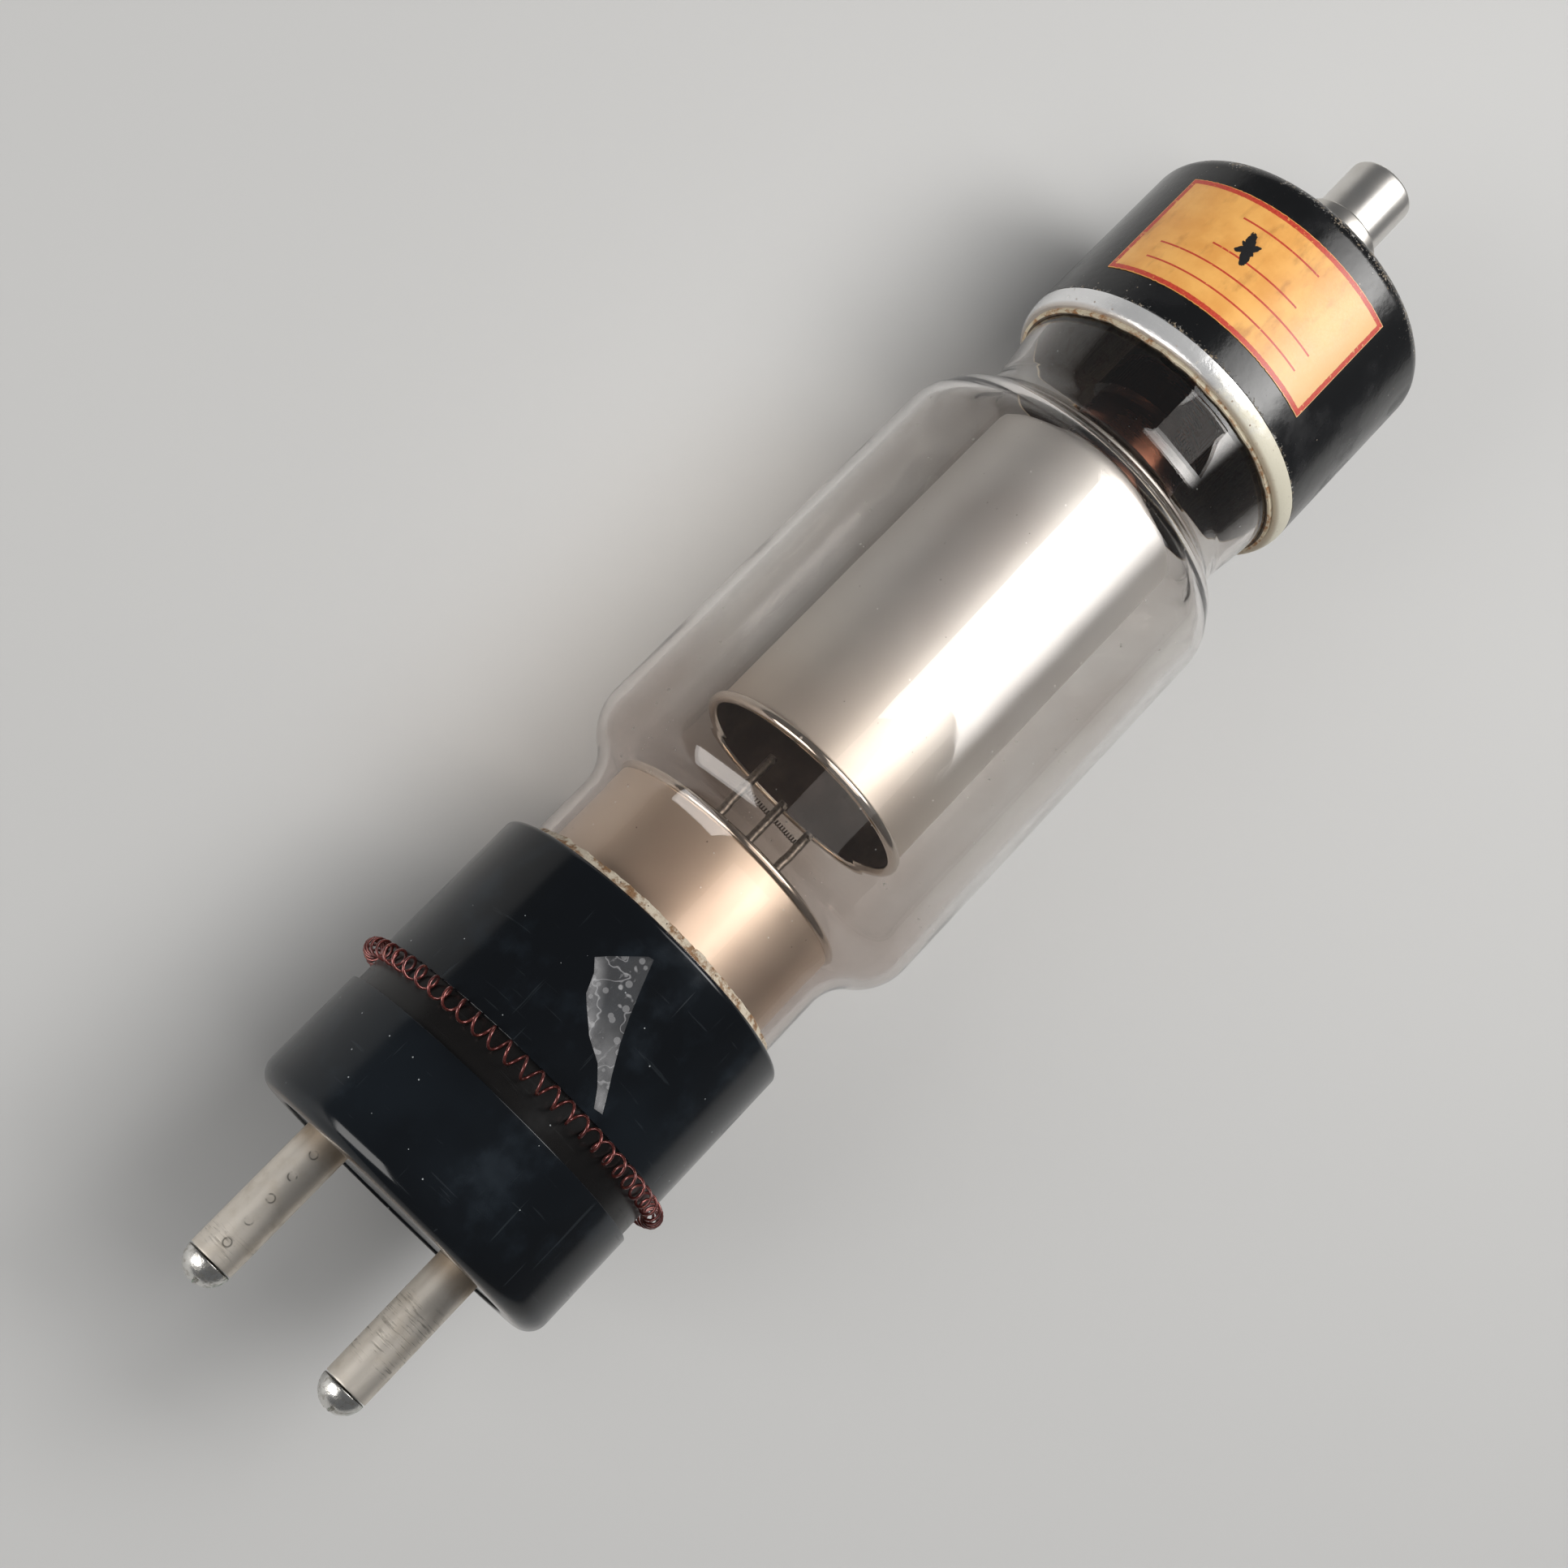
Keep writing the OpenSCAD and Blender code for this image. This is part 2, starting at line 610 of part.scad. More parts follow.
module anode_lead() {
    z0 = seal_cup_z0 + seal_cup_wall;
    color("#b06a44") translate([0, 0, z0])
        cylinder(r = lead_r, h = collar_z1 + terminal_len / 2 - z0, $fn = 32);
}

// Drawn cap with a round edge, a sloping top and a flat seat for the collar.
module cap_shell() {
    inner_round = cap_round - cap_wall;
    inner_top = cap_top_z - cap_wall;
    color("#17181a") rotate_extrude() polygon(concat(
        [[cap_bore_r, cap_z0], [cap_r, cap_z0]],
        arc([cap_r - cap_round, cap_z1], cap_round, 0, cap_corner_turn),
        [[cap_flat_r, cap_top_z], [spigot_r, cap_top_z], [spigot_r, inner_top], [cap_flat_r, inner_top]],
        reversed(arc([cap_r - cap_round, cap_z1], inner_round, 0, cap_corner_turn))
    ));
}

// Tinned half-round ring under the cap's edge.
module cap_rim() {
    inner = cap_bore_r - cap_cement_t / 2;
    width = cap_r - inner;
    color("#d8d8d6") rotate_extrude() polygon(concat(
        [[inner, cap_z0], [inner, cap_z0 - rim_h]],
        [for (i = [0 : ARC]) let (a = -90 + 90 * i / ARC)
            [cap_r - width * 0.7 * (1 - cos(a)), cap_z0 + rim_h * sin(a)]]
    ));
}

module cap_cement() {
    inner = cap_bore_r - cap_cement_t / 2;
    color("#d6cba8") {
        tube(cap_bore_r, cap_neck_r, cap_z0, glass_z1 - 2);
        tube(inner, cap_neck_r, cap_z0 - rim_h - cap_cement_show, cap_z0 + FIT);
    }
}

module terminal_collar() {
    edge = 0.5;
    color("#c6c2ba") rotate_extrude() polygon([
        [spigot_r, cap_top_z], [collar_r, cap_top_z], [collar_r, collar_z1 - edge],
        [collar_r - edge, collar_z1], [spigot_r, collar_z1]
    ]);
}

// Terminal with a spigot through the collar and the cap, peened over inside.
module anode_terminal() {
    edge = 0.7;
    peen_r = spigot_r + 1.2;
    peen_z = cap_top_z - cap_wall;
    color("#c6c2ba") difference() {
        rotate_extrude() polygon(concat(
            [[0, peen_z - peen_t], [peen_r, peen_z - peen_t], [peen_r, peen_z],
             [spigot_r, peen_z], [spigot_r, collar_z1], [terminal_r, collar_z1]],
            arc([terminal_r - edge, terminal_z1 - edge], edge, 0, 90),
            [[0, terminal_z1]]
        ));
        translate([0, 0, peen_z - peen_t - 1])
            cylinder(r = lead_r, h = collar_z1 + terminal_len / 2 - peen_z + peen_t + 1, $fn = 32);
    }
}

// Paper label, curved round the cap.
module rating_label() {
    turn = label_w / cap_r * 180 / PI;
    z0 = cap_z0 + (cap_len - label_h) * label_share;
    color("#dba45c") rotate([0, 0, 180 - label_turn - turn / 2]) translate([0, 0, z0])
        rotate_extrude(angle = turn) translate([cap_r, 0]) square([LABEL_T, label_h]);
}

lay() base_shell();
lay() base_plate();
lay() contact_pin_a();
lay() contact_pin_b();
lay() pin_tip_a();
lay() pin_tip_b();
lay() garter_spring();
lay() base_cement();
lay() base_wire_a();
lay() base_wire_b();
lay() glass_envelope();
lay() cathode_stem();
lay() exhaust_tip();
lay() seal_lead_a();
lay() seal_lead_b();
lay() stem_collar();
lay() shield_spider();
lay() cathode_shield();
lay() shield_rim();
lay() focusing_disc();
lay() post_bushings();
lay() filament_post_a();
lay() filament_post_b();
lay() filament_post_mid();
lay() filament();
lay() anode_cup();
lay() anode_rim();
lay() anode_stud();
lay() seal_cup();
lay() anode_stem();
lay() anode_lead();
lay() cap_shell();
lay() cap_rim();
lay() cap_cement();
lay() terminal_collar();
lay() anode_terminal();
lay() rating_label();
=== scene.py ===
"""Looks of a two-pin high-voltage rectifier valve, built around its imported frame."""

import logging
import math
from dataclasses import dataclass
from enum import Enum

import bmesh
import bpy
from mathutils import Matrix, Vector, noise


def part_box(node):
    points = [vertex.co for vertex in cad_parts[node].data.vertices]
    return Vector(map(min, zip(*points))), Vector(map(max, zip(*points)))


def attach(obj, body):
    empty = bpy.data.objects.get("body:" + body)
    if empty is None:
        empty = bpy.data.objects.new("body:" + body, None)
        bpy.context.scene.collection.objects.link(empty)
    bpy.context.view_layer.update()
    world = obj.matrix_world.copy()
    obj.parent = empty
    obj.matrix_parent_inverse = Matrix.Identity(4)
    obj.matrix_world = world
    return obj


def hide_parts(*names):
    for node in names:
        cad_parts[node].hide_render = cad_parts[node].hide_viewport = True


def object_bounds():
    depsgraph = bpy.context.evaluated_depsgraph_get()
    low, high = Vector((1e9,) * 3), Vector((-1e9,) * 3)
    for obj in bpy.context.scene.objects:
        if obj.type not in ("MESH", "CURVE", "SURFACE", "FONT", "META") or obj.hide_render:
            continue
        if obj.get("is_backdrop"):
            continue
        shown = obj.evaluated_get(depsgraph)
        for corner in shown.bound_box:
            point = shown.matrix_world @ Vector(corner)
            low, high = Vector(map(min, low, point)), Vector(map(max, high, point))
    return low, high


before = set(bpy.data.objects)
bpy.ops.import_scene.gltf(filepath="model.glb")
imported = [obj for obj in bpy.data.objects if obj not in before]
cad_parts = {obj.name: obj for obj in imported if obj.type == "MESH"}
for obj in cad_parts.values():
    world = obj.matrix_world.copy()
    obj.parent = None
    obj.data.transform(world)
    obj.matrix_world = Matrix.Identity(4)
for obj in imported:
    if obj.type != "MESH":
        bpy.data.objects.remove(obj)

LOG = logging.getLogger("valve")
MM = 0.001                 # metres in a millimetre
BODY = "root"              # the one body that every piece rides on
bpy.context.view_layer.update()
Socket = bpy.types.NodeSocket
Triple = tuple[float, float, float]


class Shading(Enum):
    """How the faces of a piece meet."""

    SMOOTH = 180.0
    EDGED = 35.0


class Lay(Enum):
    """Direction in which the grain of a finish runs."""

    ALONG = (0.06, 1.0)
    AROUND = (1.0, 0.06)
    EVEN = (1.0, 1.0)


# ---------------------------------------------------------------- shading


class Shade:
    """A material under construction, with one short method for each kind of node."""

    def __init__(self, name: str) -> None:
        """Start a material that holds one Principled shader.

        Args:
            name: Name of the material.
        """
        self.material = bpy.data.materials.new(name)
        self.material.use_nodes = True
        self.nodes = self.material.node_tree.nodes
        self.nodes.clear()
        self.output = self.nodes.new("ShaderNodeOutputMaterial")
        self.skin = self.nodes.new("ShaderNodeBsdfPrincipled")
        self.join(self.skin.outputs[0], self.output.inputs["Surface"])
        self.place = self.nodes.new("ShaderNodeTexCoord").outputs["Object"]

    def join(self, source: object, target: Socket) -> None:
        """Feed an input from a socket, or set it to a plain value.

        Args:
            source: Output socket, number or tuple.
            target: Input socket that takes it.
        """
        if isinstance(source, Socket):
            self.material.node_tree.links.new(source, target)
        else:
            target.default_value = source

    def set(self, **values: object) -> None:
        """Set the Principled shader's inputs.

        Args:
            values: Value or socket for each input, with underscores for the spaces in its name.
        """
        for name, value in values.items():
            if name.endswith("Color"):
                value = (*value, 1.0) if isinstance(value, tuple) else value
            self.join(value, self.skin.inputs[name.replace("_", " ")])

    def node(self, kind: str, *values: object, **settings: object) -> bpy.types.Node:
        """Add a node and feed its first inputs in order.

        Args:
            kind: Node type without its ShaderNode prefix.
            values: Sources for the first inputs; None leaves one as it is.
            settings: Properties of the node.

        Returns:
            The new node.
        """
        made = self.nodes.new("ShaderNode" + kind)
        for name, value in settings.items():
            setattr(made, name, value)
        for target, value in zip(made.inputs, values, strict=False):
            if value is not None:
                self.join(value, target)
        return made

    def calc(self, operation: str, a: object, b: object = 0.0, clamp: bool = False) -> Socket:
        """One sum on two numbers.

        Args:
            operation: Name of the Math node's operation.
            a: First number or socket.
            b: Second number or socket.
            clamp: Whether the result is held between 0 and 1.

        Returns:
            The result's socket.
        """
        return self.node("Math", a, b, operation=operation, use_clamp=clamp).outputs[0]

    def times(self, a: object, b: object, clamp: bool = False) -> Socket:
        """Product of two numbers."""
        return self.calc("MULTIPLY", a, b, clamp)

    def plus(self, a: object, b: object, clamp: bool = False) -> Socket:
        """Sum of two numbers."""
        return self.calc("ADD", a, b, clamp)

    def minus(self, a: object, b: object, clamp: bool = False) -> Socket:
        """Difference of two numbers."""
        return self.calc("SUBTRACT", a, b, clamp)

    def most(self, a: object, b: object) -> Socket:
        """Larger of two numbers."""
        return self.calc("MAXIMUM", a, b)

    def least(self, a: object, b: object) -> Socket:
        """Smaller of two numbers."""
        return self.calc("MINIMUM", a, b)

    def below(self, a: object, b: object) -> Socket:
        """1 where the first number is the smaller, and 0 elsewhere."""
        return self.calc("LESS_THAN", a, b)

    def above(self, a: object, b: object) -> Socket:
        """1 where the first number is the larger, and 0 elsewhere."""
        return self.calc("GREATER_THAN", a, b)

    def stretch(self, scale: Triple, source: object = None) -> Socket:
        """Coordinates multiplied along each axis.

        Args:
            scale: Factor for each axis.
            source: Coordinates to start from, or None for Object coordinates.

        Returns:
            The new coordinates.
        """
        made = self.node("Mapping", source or self.place)
        made.inputs["Scale"].default_value = scale
        return made.outputs[0]

    def polar(self, centre_y: float = 0.0) -> tuple[Socket, ...]:
        """Turned coordinates about an axis that runs along X.

        Args:
            centre_y: Where the axis crosses Y.

        Returns:
            Station along X, angle from +Z towards +Y in radians, and radius.
        """
        parts = self.node("SeparateXYZ", self.place).outputs
        across = self.minus(parts[1], centre_y)
        angle = self.calc("ARCTAN2", across, parts[2])
        square = self.plus(self.times(across, across), self.times(parts[2], parts[2]))
        return parts[0], angle, self.calc("SQRT", square)

    def wrapped(self, radius: float, lay: Lay = Lay.EVEN, centre_y: float = 0.0) -> Socket:
        """Coordinates unrolled from a turned surface, squeezed along the grain.

        Args:
            radius: Radius at which lengths around are true.
            lay: Direction of the grain.
            centre_y: Where the axis crosses Y.

        Returns:
            Coordinates of station, length around and radius.
        """
        station, angle, depth = self.polar(centre_y)
        along, around = lay.value
        return self.node(
            "CombineXYZ",
            self.times(station, along),
            self.times(angle, radius * around),
            depth,
        ).outputs[0]

    def noise(self, size: float, detail: float = 4.0, source: object = None, rough: float = 0.55) -> Socket:
        """Cloudy noise between 0 and 1.

        Args:
            size: Size of its largest blots, in metres.
            detail: How many finer layers it has.
            source: Coordinates, or None for Object coordinates.
            rough: Strength of the finer layers.

        Returns:
            The noise's socket.
        """
        made = self.node("TexNoise", source or self.place)
        made.inputs["Scale"].default_value = 1 / size
        made.inputs["Detail"].default_value = detail
        made.inputs["Roughness"].default_value = rough
        return made.outputs[0]

    def specks(self, spacing: float, size: float, share: float, source: object = None) -> Socket:
        """Scattered round specks, 1 inside and 0 outside.

        Args:
            spacing: Distance between the cells that may hold a speck, in metres.
            size: Radius of a speck as a share of the spacing.
            share: Share of cells that hold one.
            source: Coordinates, or None for Object coordinates.

        Returns:
            The specks' socket.
        """
        cells = self.node("TexVoronoi", source or self.place)
        cells.inputs["Scale"].default_value = 1 / spacing
        near = self.below(cells.outputs["Distance"], size)
        picked = self.below(self.node("SeparateColor", cells.outputs["Color"]).outputs[0], share)
        return self.times(near, picked)

    def span(
        self, value: object, low: float, high: float, out_low: float = 0.0, out_high: float = 1.0,
    ) -> Socket:
        """Smooth step of a value from one range to another.

        Args:
            value: Value to remap.
            low: Where the step starts.
            high: Where the step ends.
            out_low: Result below the step.
            out_high: Result above the step.

        Returns:
            The result's socket.
        """
        return self.node(
            "MapRange", value, low, high, out_low, out_high, interpolation_type="SMOOTHSTEP"
        ).outputs[0]

    def blend(self, share: object, a: object, b: object) -> Socket:
        """Mix of two colours.

        Args:
            share: How much of the second colour shows.
            a: First colour.
            b: Second colour.

        Returns:
            The mixed colour's socket.
        """
        made = self.node("Mix", data_type="RGBA")
        self.join(share, made.inputs[0])
        for target, colour in ((made.inputs[6], a), (made.inputs[7], b)):
            self.join((*colour, 1.0) if isinstance(colour, tuple) else colour, target)
        return made.outputs[2]

    def bump(self, height: object, depth: float, under: object = None) -> Socket:
        """Surface relief.

        Args:
            height: Height between 0 and 1.
            depth: How deep a height of 1 is, in metres.
            under: Relief that this one lies on.

        Returns:
            The normal's socket.
        """
        made = self.node("Bump")
        made.inputs["Distance"].default_value = depth
        self.join(height, made.inputs["Height"])
        if under is not None:
            self.join(under, made.inputs["Normal"])
        return made.outputs[0]

    def lit_through(self, tint: Triple) -> None:
        """Let lamps reach what is behind the glass.

        Args:
            tint: Colour of the light that passes.
        """
        path = self.node("LightPath")
        clear = self.node("BsdfTransparent", (*tint, 1.0))
        mix = self.node("MixShader", path.outputs["Is Shadow Ray"], self.skin.outputs[0], clear.outputs[0])
        self.join(mix.outputs[0], self.output.inputs["Surface"])


@dataclass(frozen=True)
class Moulding:
    """Black phenolic moulding with bloom, smudges, scratches and dust; painted shade in its groove, a
    painted reflection on its bottom ring.
    """

    name: str = "moulding_black"
    ink: Triple = (0.0030, 0.0040, 0.0055)
    bloom: Triple = (0.012, 0.018, 0.025)
    # Colour of the painted shade in the spring groove.
    hollow_dark: Triple = (0.005, 0.004, 0.0034)
    # Colour of the painted reflection on the outer ring of the bottom face.
    lip: Triple = (0.17, 0.130, 0.098)
    lip_radius: float = 22.6 * MM
    dust: Triple = (0.32, 0.34, 0.35)
    radius: float = 28.6 * MM
    groove: tuple[float, float] = (20.3 * MM, 27.2 * MM)

    def build(self) -> bpy.types.Material:
        """Build the material.

        Returns:
            The material.
        """
        s = Shade(self.name)
        station, _, radius = s.polar()
        inside = s.times(s.above(station, self.groove[0]), s.below(station, self.groove[1]))
        smudge = s.span(s.noise(11 * MM, 6.0), 0.5, 0.72)
        film = s.span(s.noise(34 * MM, 3.0), 0.42, 0.68)
        scratch = s.span(s.noise(0.7 * MM, 3.0, s.wrapped(self.radius, Lay.AROUND)), 0.66, 0.72)
        scrape = s.span(s.noise(0.9 * MM, 2.0, s.stretch((0.05, 1.0, 0.6))), 0.68, 0.74)
        dust = s.specks(1.6 * MM, 0.075, 0.16)
        marks = s.most(s.times(scratch, 0.35), s.times(scrape, 0.5))
        haze = s.times(s.plus(smudge, s.times(film, 0.6)), 0.55, clamp=True)
        colour = s.blend(haze, self.ink, self.bloom)
        colour = s.blend(s.times(marks, 0.3), colour, (0.07, 0.085, 0.095))
        # Painted shade: the spring groove is painted near black.
        colour = s.blend(s.times(inside, 0.85), colour, self.hollow_dark)
        # Painted reflection: the outer ring of the bottom face, seen edge-on, is painted a streaked
        # beige-brown where the glossy face reflects light.
        rubbed = s.plus(0.45, s.times(s.span(s.noise(0.6 * MM, 5.0), 0.35, 0.65), 0.28))
        rim = s.span(radius, self.lip_radius, self.lip_radius + 0.4 * MM)
        bottom_reflection = s.times(s.times(s.span(station, 0.5 * MM, 0.1 * MM), rim), rubbed)
        colour = s.blend(bottom_reflection, colour, self.lip)
        colour = s.blend(dust, colour, self.dust)
        base_rough = s.span(haze, 0.0, 1.0, 0.13, 0.30)
        rough = s.plus(s.times(marks, 0.2), base_rough)
        rough = s.plus(s.times(inside, 0.14), rough, clamp=True)
        relief = s.bump(s.noise(7 * MM, 2.0), 0.02 * MM)
        relief = s.bump(marks, -0.008 * MM, relief)
        s.set(Base_Color=colour, Roughness=rough, Normal=relief, IOR=1.5, Specular_IOR_Level=0.38)
        return s.material


@dataclass(frozen=True)
class Satin:
    """Satin metal with a grain, slow stains and small specks."""

    name: str
    colour: Triple
    stain: Triple
    smooth: float = 0.26
    dull: float = 0.42
    lay: Lay = Lay.EVEN
    grain: float = 0.35 * MM
    relief: float = 0.006 * MM
    blot: float = 9 * MM
    stained: float = 0.6
    radius: float = 20 * MM
    centre_y: float = 0.0
    warm_from: float = 0.0
    warm_to: float = 0.0
    warm: Triple = (0.5, 0.42, 0.34)

    def build(self) -> bpy.types.Material:
        """Build the material.

        Returns:
            The material.
        """
        s = Shade(self.name)
        unrolled = s.wrapped(self.radius, self.lay, self.centre_y)
        grain = s.noise(self.grain, 5.0, unrolled, 0.65)
        blots = s.span(s.noise(self.blot, 5.0), 0.4, 0.75)
        colour = s.blend(s.times(blots, self.stained), self.colour, self.stain)
        if self.warm_to != self.warm_from:
            station = s.polar()[0]
            colour = s.blend(s.span(station, self.warm_from, self.warm_to), colour, self.warm)
        colour = s.blend(s.specks(1.3 * MM, 0.09, 0.10), colour, tuple(0.35 * c for c in self.stain))
        uneven = s.plus(s.times(grain, 0.6), s.times(blots, 0.8 * self.stained))
        rough = s.span(uneven, 0.2, 0.9, self.smooth, self.dull)
        s.set(Base_Color=colour, Metallic=1.0, Roughness=rough, Normal=s.bump(grain, self.relief))
        return s.material


@dataclass(frozen=True)
class PinNickel:
    """Plated pin with rubbed rings, a dark row of dents and a warm foot."""

    name: str
    centre_y: float
    radius: float
    dents: tuple[float, ...] = ()
    dent_angle: float = 0.26
    rub_from: float = -20 * MM
    rub_to: float = -4 * MM
    rub_fade: float = 3 * MM

    def build(self) -> bpy.types.Material:
        """Build the material.

        Returns:
            The material.
        """
        s = Shade(self.name)
        station, angle, _ = s.polar(self.centre_y)
        rings = s.noise(0.3 * MM, 2.0, s.wrapped(self.radius, Lay.AROUND, self.centre_y))
        draws = s.noise(0.3 * MM, 3.0, s.wrapped(self.radius, Lay.ALONG, self.centre_y))
        blots = s.span(s.noise(3.5 * MM, 5.0), 0.42, 0.72)
        rise = s.span(station, self.rub_from, self.rub_from + self.rub_fade)
        fall = s.span(station, self.rub_to, self.rub_to - self.rub_fade)
        rubbed = s.times(s.times(rise, fall), s.span(s.noise(2.2 * MM, 3.0), 0.40, 0.62))
        lines = s.times(s.span(rings, 0.52, 0.60), rubbed)
        colour = s.blend(blots, (0.80, 0.74, 0.66), (0.66, 0.60, 0.52))
        colour = s.blend(s.times(lines, 0.55), colour, (0.16, 0.14, 0.115))
        foot = s.span(station, -4.5 * MM, -0.2 * MM)
        colour = s.blend(s.times(foot, 0.55), colour, (0.33, 0.205, 0.095))
        for x in self.dents:
            across = s.times(s.minus(angle, self.dent_angle), self.radius)
            along = s.minus(station, x)
            away = s.calc("SQRT", s.plus(s.times(across, across), s.times(along, along)))
            ring = s.times(s.span(away, 0.45 * MM, 0.62 * MM), s.span(away, 0.85 * MM, 0.66 * MM))
            broken = s.span(s.noise(1.6 * MM, 2.0), 0.38, 0.56)
            colour = s.blend(s.times(s.times(ring, broken), 0.75), colour, (0.10, 0.09, 0.075))
        rough = s.span(s.plus(draws, s.times(blots, 0.6)), 0.3, 1.3, 0.44, 0.56)
        relief = s.bump(draws, 0.004 * MM, s.bump(lines, -0.01 * MM))
        s.set(Base_Color=colour, Metallic=0.9, Roughness=rough, Normal=relief)
        return s.material


@dataclass(frozen=True)
class TipSolder:
    """Bright tip with scuffs and a little green corrosion on its shaded side."""

    name: str
    centre_y: float
    radius: float
    seam: float

    def build(self) -> bpy.types.Material:
        """Build the material.

        Returns:
            The material.
        """
        s = Shade(self.name)
        station, angle, _ = s.polar(self.centre_y)
        scuff = s.span(s.noise(0.9 * MM, 5.0), 0.45, 0.7)
        green = s.times(s.span(s.noise(1.8 * MM, 4.0), 0.44, 0.58), s.span(angle, -0.6, -1.5))
        seam = s.span(station, self.seam - 0.25 * MM, self.seam)
        colour = s.blend(scuff, (0.74, 0.73, 0.70), (0.46, 0.44, 0.40))
        colour = s.blend(s.times(seam, 0.8), colour, (0.06, 0.06, 0.05))
        colour = s.blend(s.times(green, 0.85), colour, (0.10, 0.22, 0.14))
        metal = s.span(green, 0.0, 1.0, 1.0, 0.2)
        rough = s.span(s.plus(scuff, green), 0.0, 1.5, 0.24, 0.5)
        s.set(Base_Color=colour, Metallic=metal, Roughness=rough, Normal=s.bump(scuff, -0.02 * MM))
        return s.material


@dataclass(frozen=True)
class EnamelledCopper:
    """Copper wire under dark red varnish."""

    name: str = "enamelled_copper"

    def build(self) -> bpy.types.Material:
        """Build the material.

        Returns:
            The material.
        """
        s = Shade(self.name)
        tone = s.noise(2.5 * MM, 3.0)
        worn = s.span(s.noise(0.7 * MM, 4.0), 0.64, 0.72)
        colour = s.blend(s.span(tone, 0.35, 0.7), (0.21, 0.048, 0.040), (0.11, 0.024, 0.022))
        colour = s.blend(s.times(worn, 0.7), colour, (0.62, 0.25, 0.15))
        s.set(Base_Color=colour, Metallic=0.75, Roughness=s.span(tone, 0.3, 0.7, 0.22, 0.38))
        s.set(Coat_Weight=0.8, Coat_Roughness=0.12, Normal=s.bump(s.noise(0.5 * MM, 2.0), 0.01 * MM))
        return s.material


@dataclass(frozen=True)
class Cement:
    """Crumbly basing cement, pale with brown patches."""

    name: str
    pale: Triple = (0.60, 0.53, 0.42)
    brown: Triple = (0.24, 0.13, 0.06)
    share: float = 0.55
    bore: float = 0.0

    def build(self) -> bpy.types.Material:
        """Build the material.

        Returns:
            The material.
        """
        s = Shade(self.name)
        patches = s.noise(2.4 * MM, 6.0, rough=0.7)
        grit = s.noise(0.3 * MM, 4.0)
        colour = s.blend(s.span(patches, self.share - 0.09, self.share + 0.06), self.pale, self.brown)
        colour = s.blend(s.specks(0.8 * MM, 0.16, 0.16), colour, (0.05, 0.03, 0.02))
        if self.bore:
            shaded = s.below(s.polar()[2], self.bore)
            colour = s.blend(s.times(shaded, 0.9), colour, (0.045, 0.028, 0.020))
        relief = s.bump(grit, 0.09 * MM, s.bump(patches, 0.2 * MM))
        s.set(Base_Color=colour, Roughness=s.span(grit, 0.3, 0.7, 0.6, 0.9), Normal=relief)
        return s.material


@dataclass(frozen=True)
class Glass:
    """Old lead glass: a faint tint, a soft ripple, finger marks and dust."""

    name: str
    tint: Triple = (0.905, 0.885, 0.865)
    smoke: Triple = (0.70, 0.62, 0.575)
    ior: float = 1.5
    smoke_from: float = 0.0
    smoke_to: float = 0.0

    def build(self) -> bpy.types.Material:
        """Build the material.

        Returns:
            The material.
        """
        s = Shade(self.name)
        cloud = s.span(s.noise(26 * MM, 3.0), 0.36, 0.7)
        share = s.times(cloud, 0.35)
        if self.smoke_to != self.smoke_from:
            near_end = s.span(s.polar()[0], self.smoke_from, self.smoke_to)
            share = s.plus(share, s.times(near_end, 0.6), clamp=True)
        colour = s.blend(share, self.tint, self.smoke)
        dust = s.most(s.specks(2.4 * MM, 0.06, 0.22), s.specks(5.1 * MM, 0.045, 0.3))
        colour = s.blend(s.times(dust, 0.8), colour, (0.62, 0.60, 0.57))
        finger = s.span(s.noise(9 * MM, 5.0), 0.58, 0.8)
        rough = s.most(s.times(finger, 0.05), s.times(dust, 0.5))
        s.set(Base_Color=colour, Roughness=rough, IOR=self.ior, Transmission_Weight=1.0)
        s.set(Normal=s.bump(s.noise(13 * MM, 1.0), 0.05 * MM))
        s.lit_through(self.tint)
        return s.material


@dataclass(frozen=True)
class AnodeMetal:
    """Grey satin nickel outside, warmer at the open end, and burnt brown inside."""

    name: str
    inner_radius: float
    open_end: float
    closed_end: float

    def build(self) -> bpy.types.Material:
        """Build the material.

        Returns:
            The material.
        """
        s = Shade(self.name)
        station, _, radius = s.polar()
        grain = s.noise(0.22 * MM, 6.0, rough=0.7)
        blots = s.span(s.noise(14 * MM, 4.0), 0.35, 0.75)
        length = self.closed_end - self.open_end
        warm = s.span(station, self.open_end + 0.5 * length, self.open_end)
        outside = s.blend(s.times(blots, 0.4), (0.70, 0.69, 0.675), (0.63, 0.62, 0.605))
        outside = s.blend(s.times(warm, 0.6), outside, (0.70, 0.64, 0.56))
        outside = s.blend(s.specks(1.1 * MM, 0.10, 0.10), outside, (0.30, 0.28, 0.26))
        hollow_dark = s.blend(s.span(s.noise(8 * MM, 4.0), 0.35, 0.7), (0.070, 0.054, 0.045), (0.120, 0.095, 0.080))
        inside = s.below(radius, self.inner_radius)
        metal = s.span(inside, 0.0, 1.0, 1.0, 0.35)
        rough = s.span(s.plus(grain, s.times(inside, 1.2)), 0.2, 1.9, 0.46, 0.70)
        s.set(Base_Color=s.blend(inside, outside, hollow_dark), Metallic=metal, Roughness=rough)
        s.set(Normal=s.bump(grain, 0.008 * MM, s.bump(s.noise(6 * MM, 2.0), 0.012 * MM)))
        return s.material


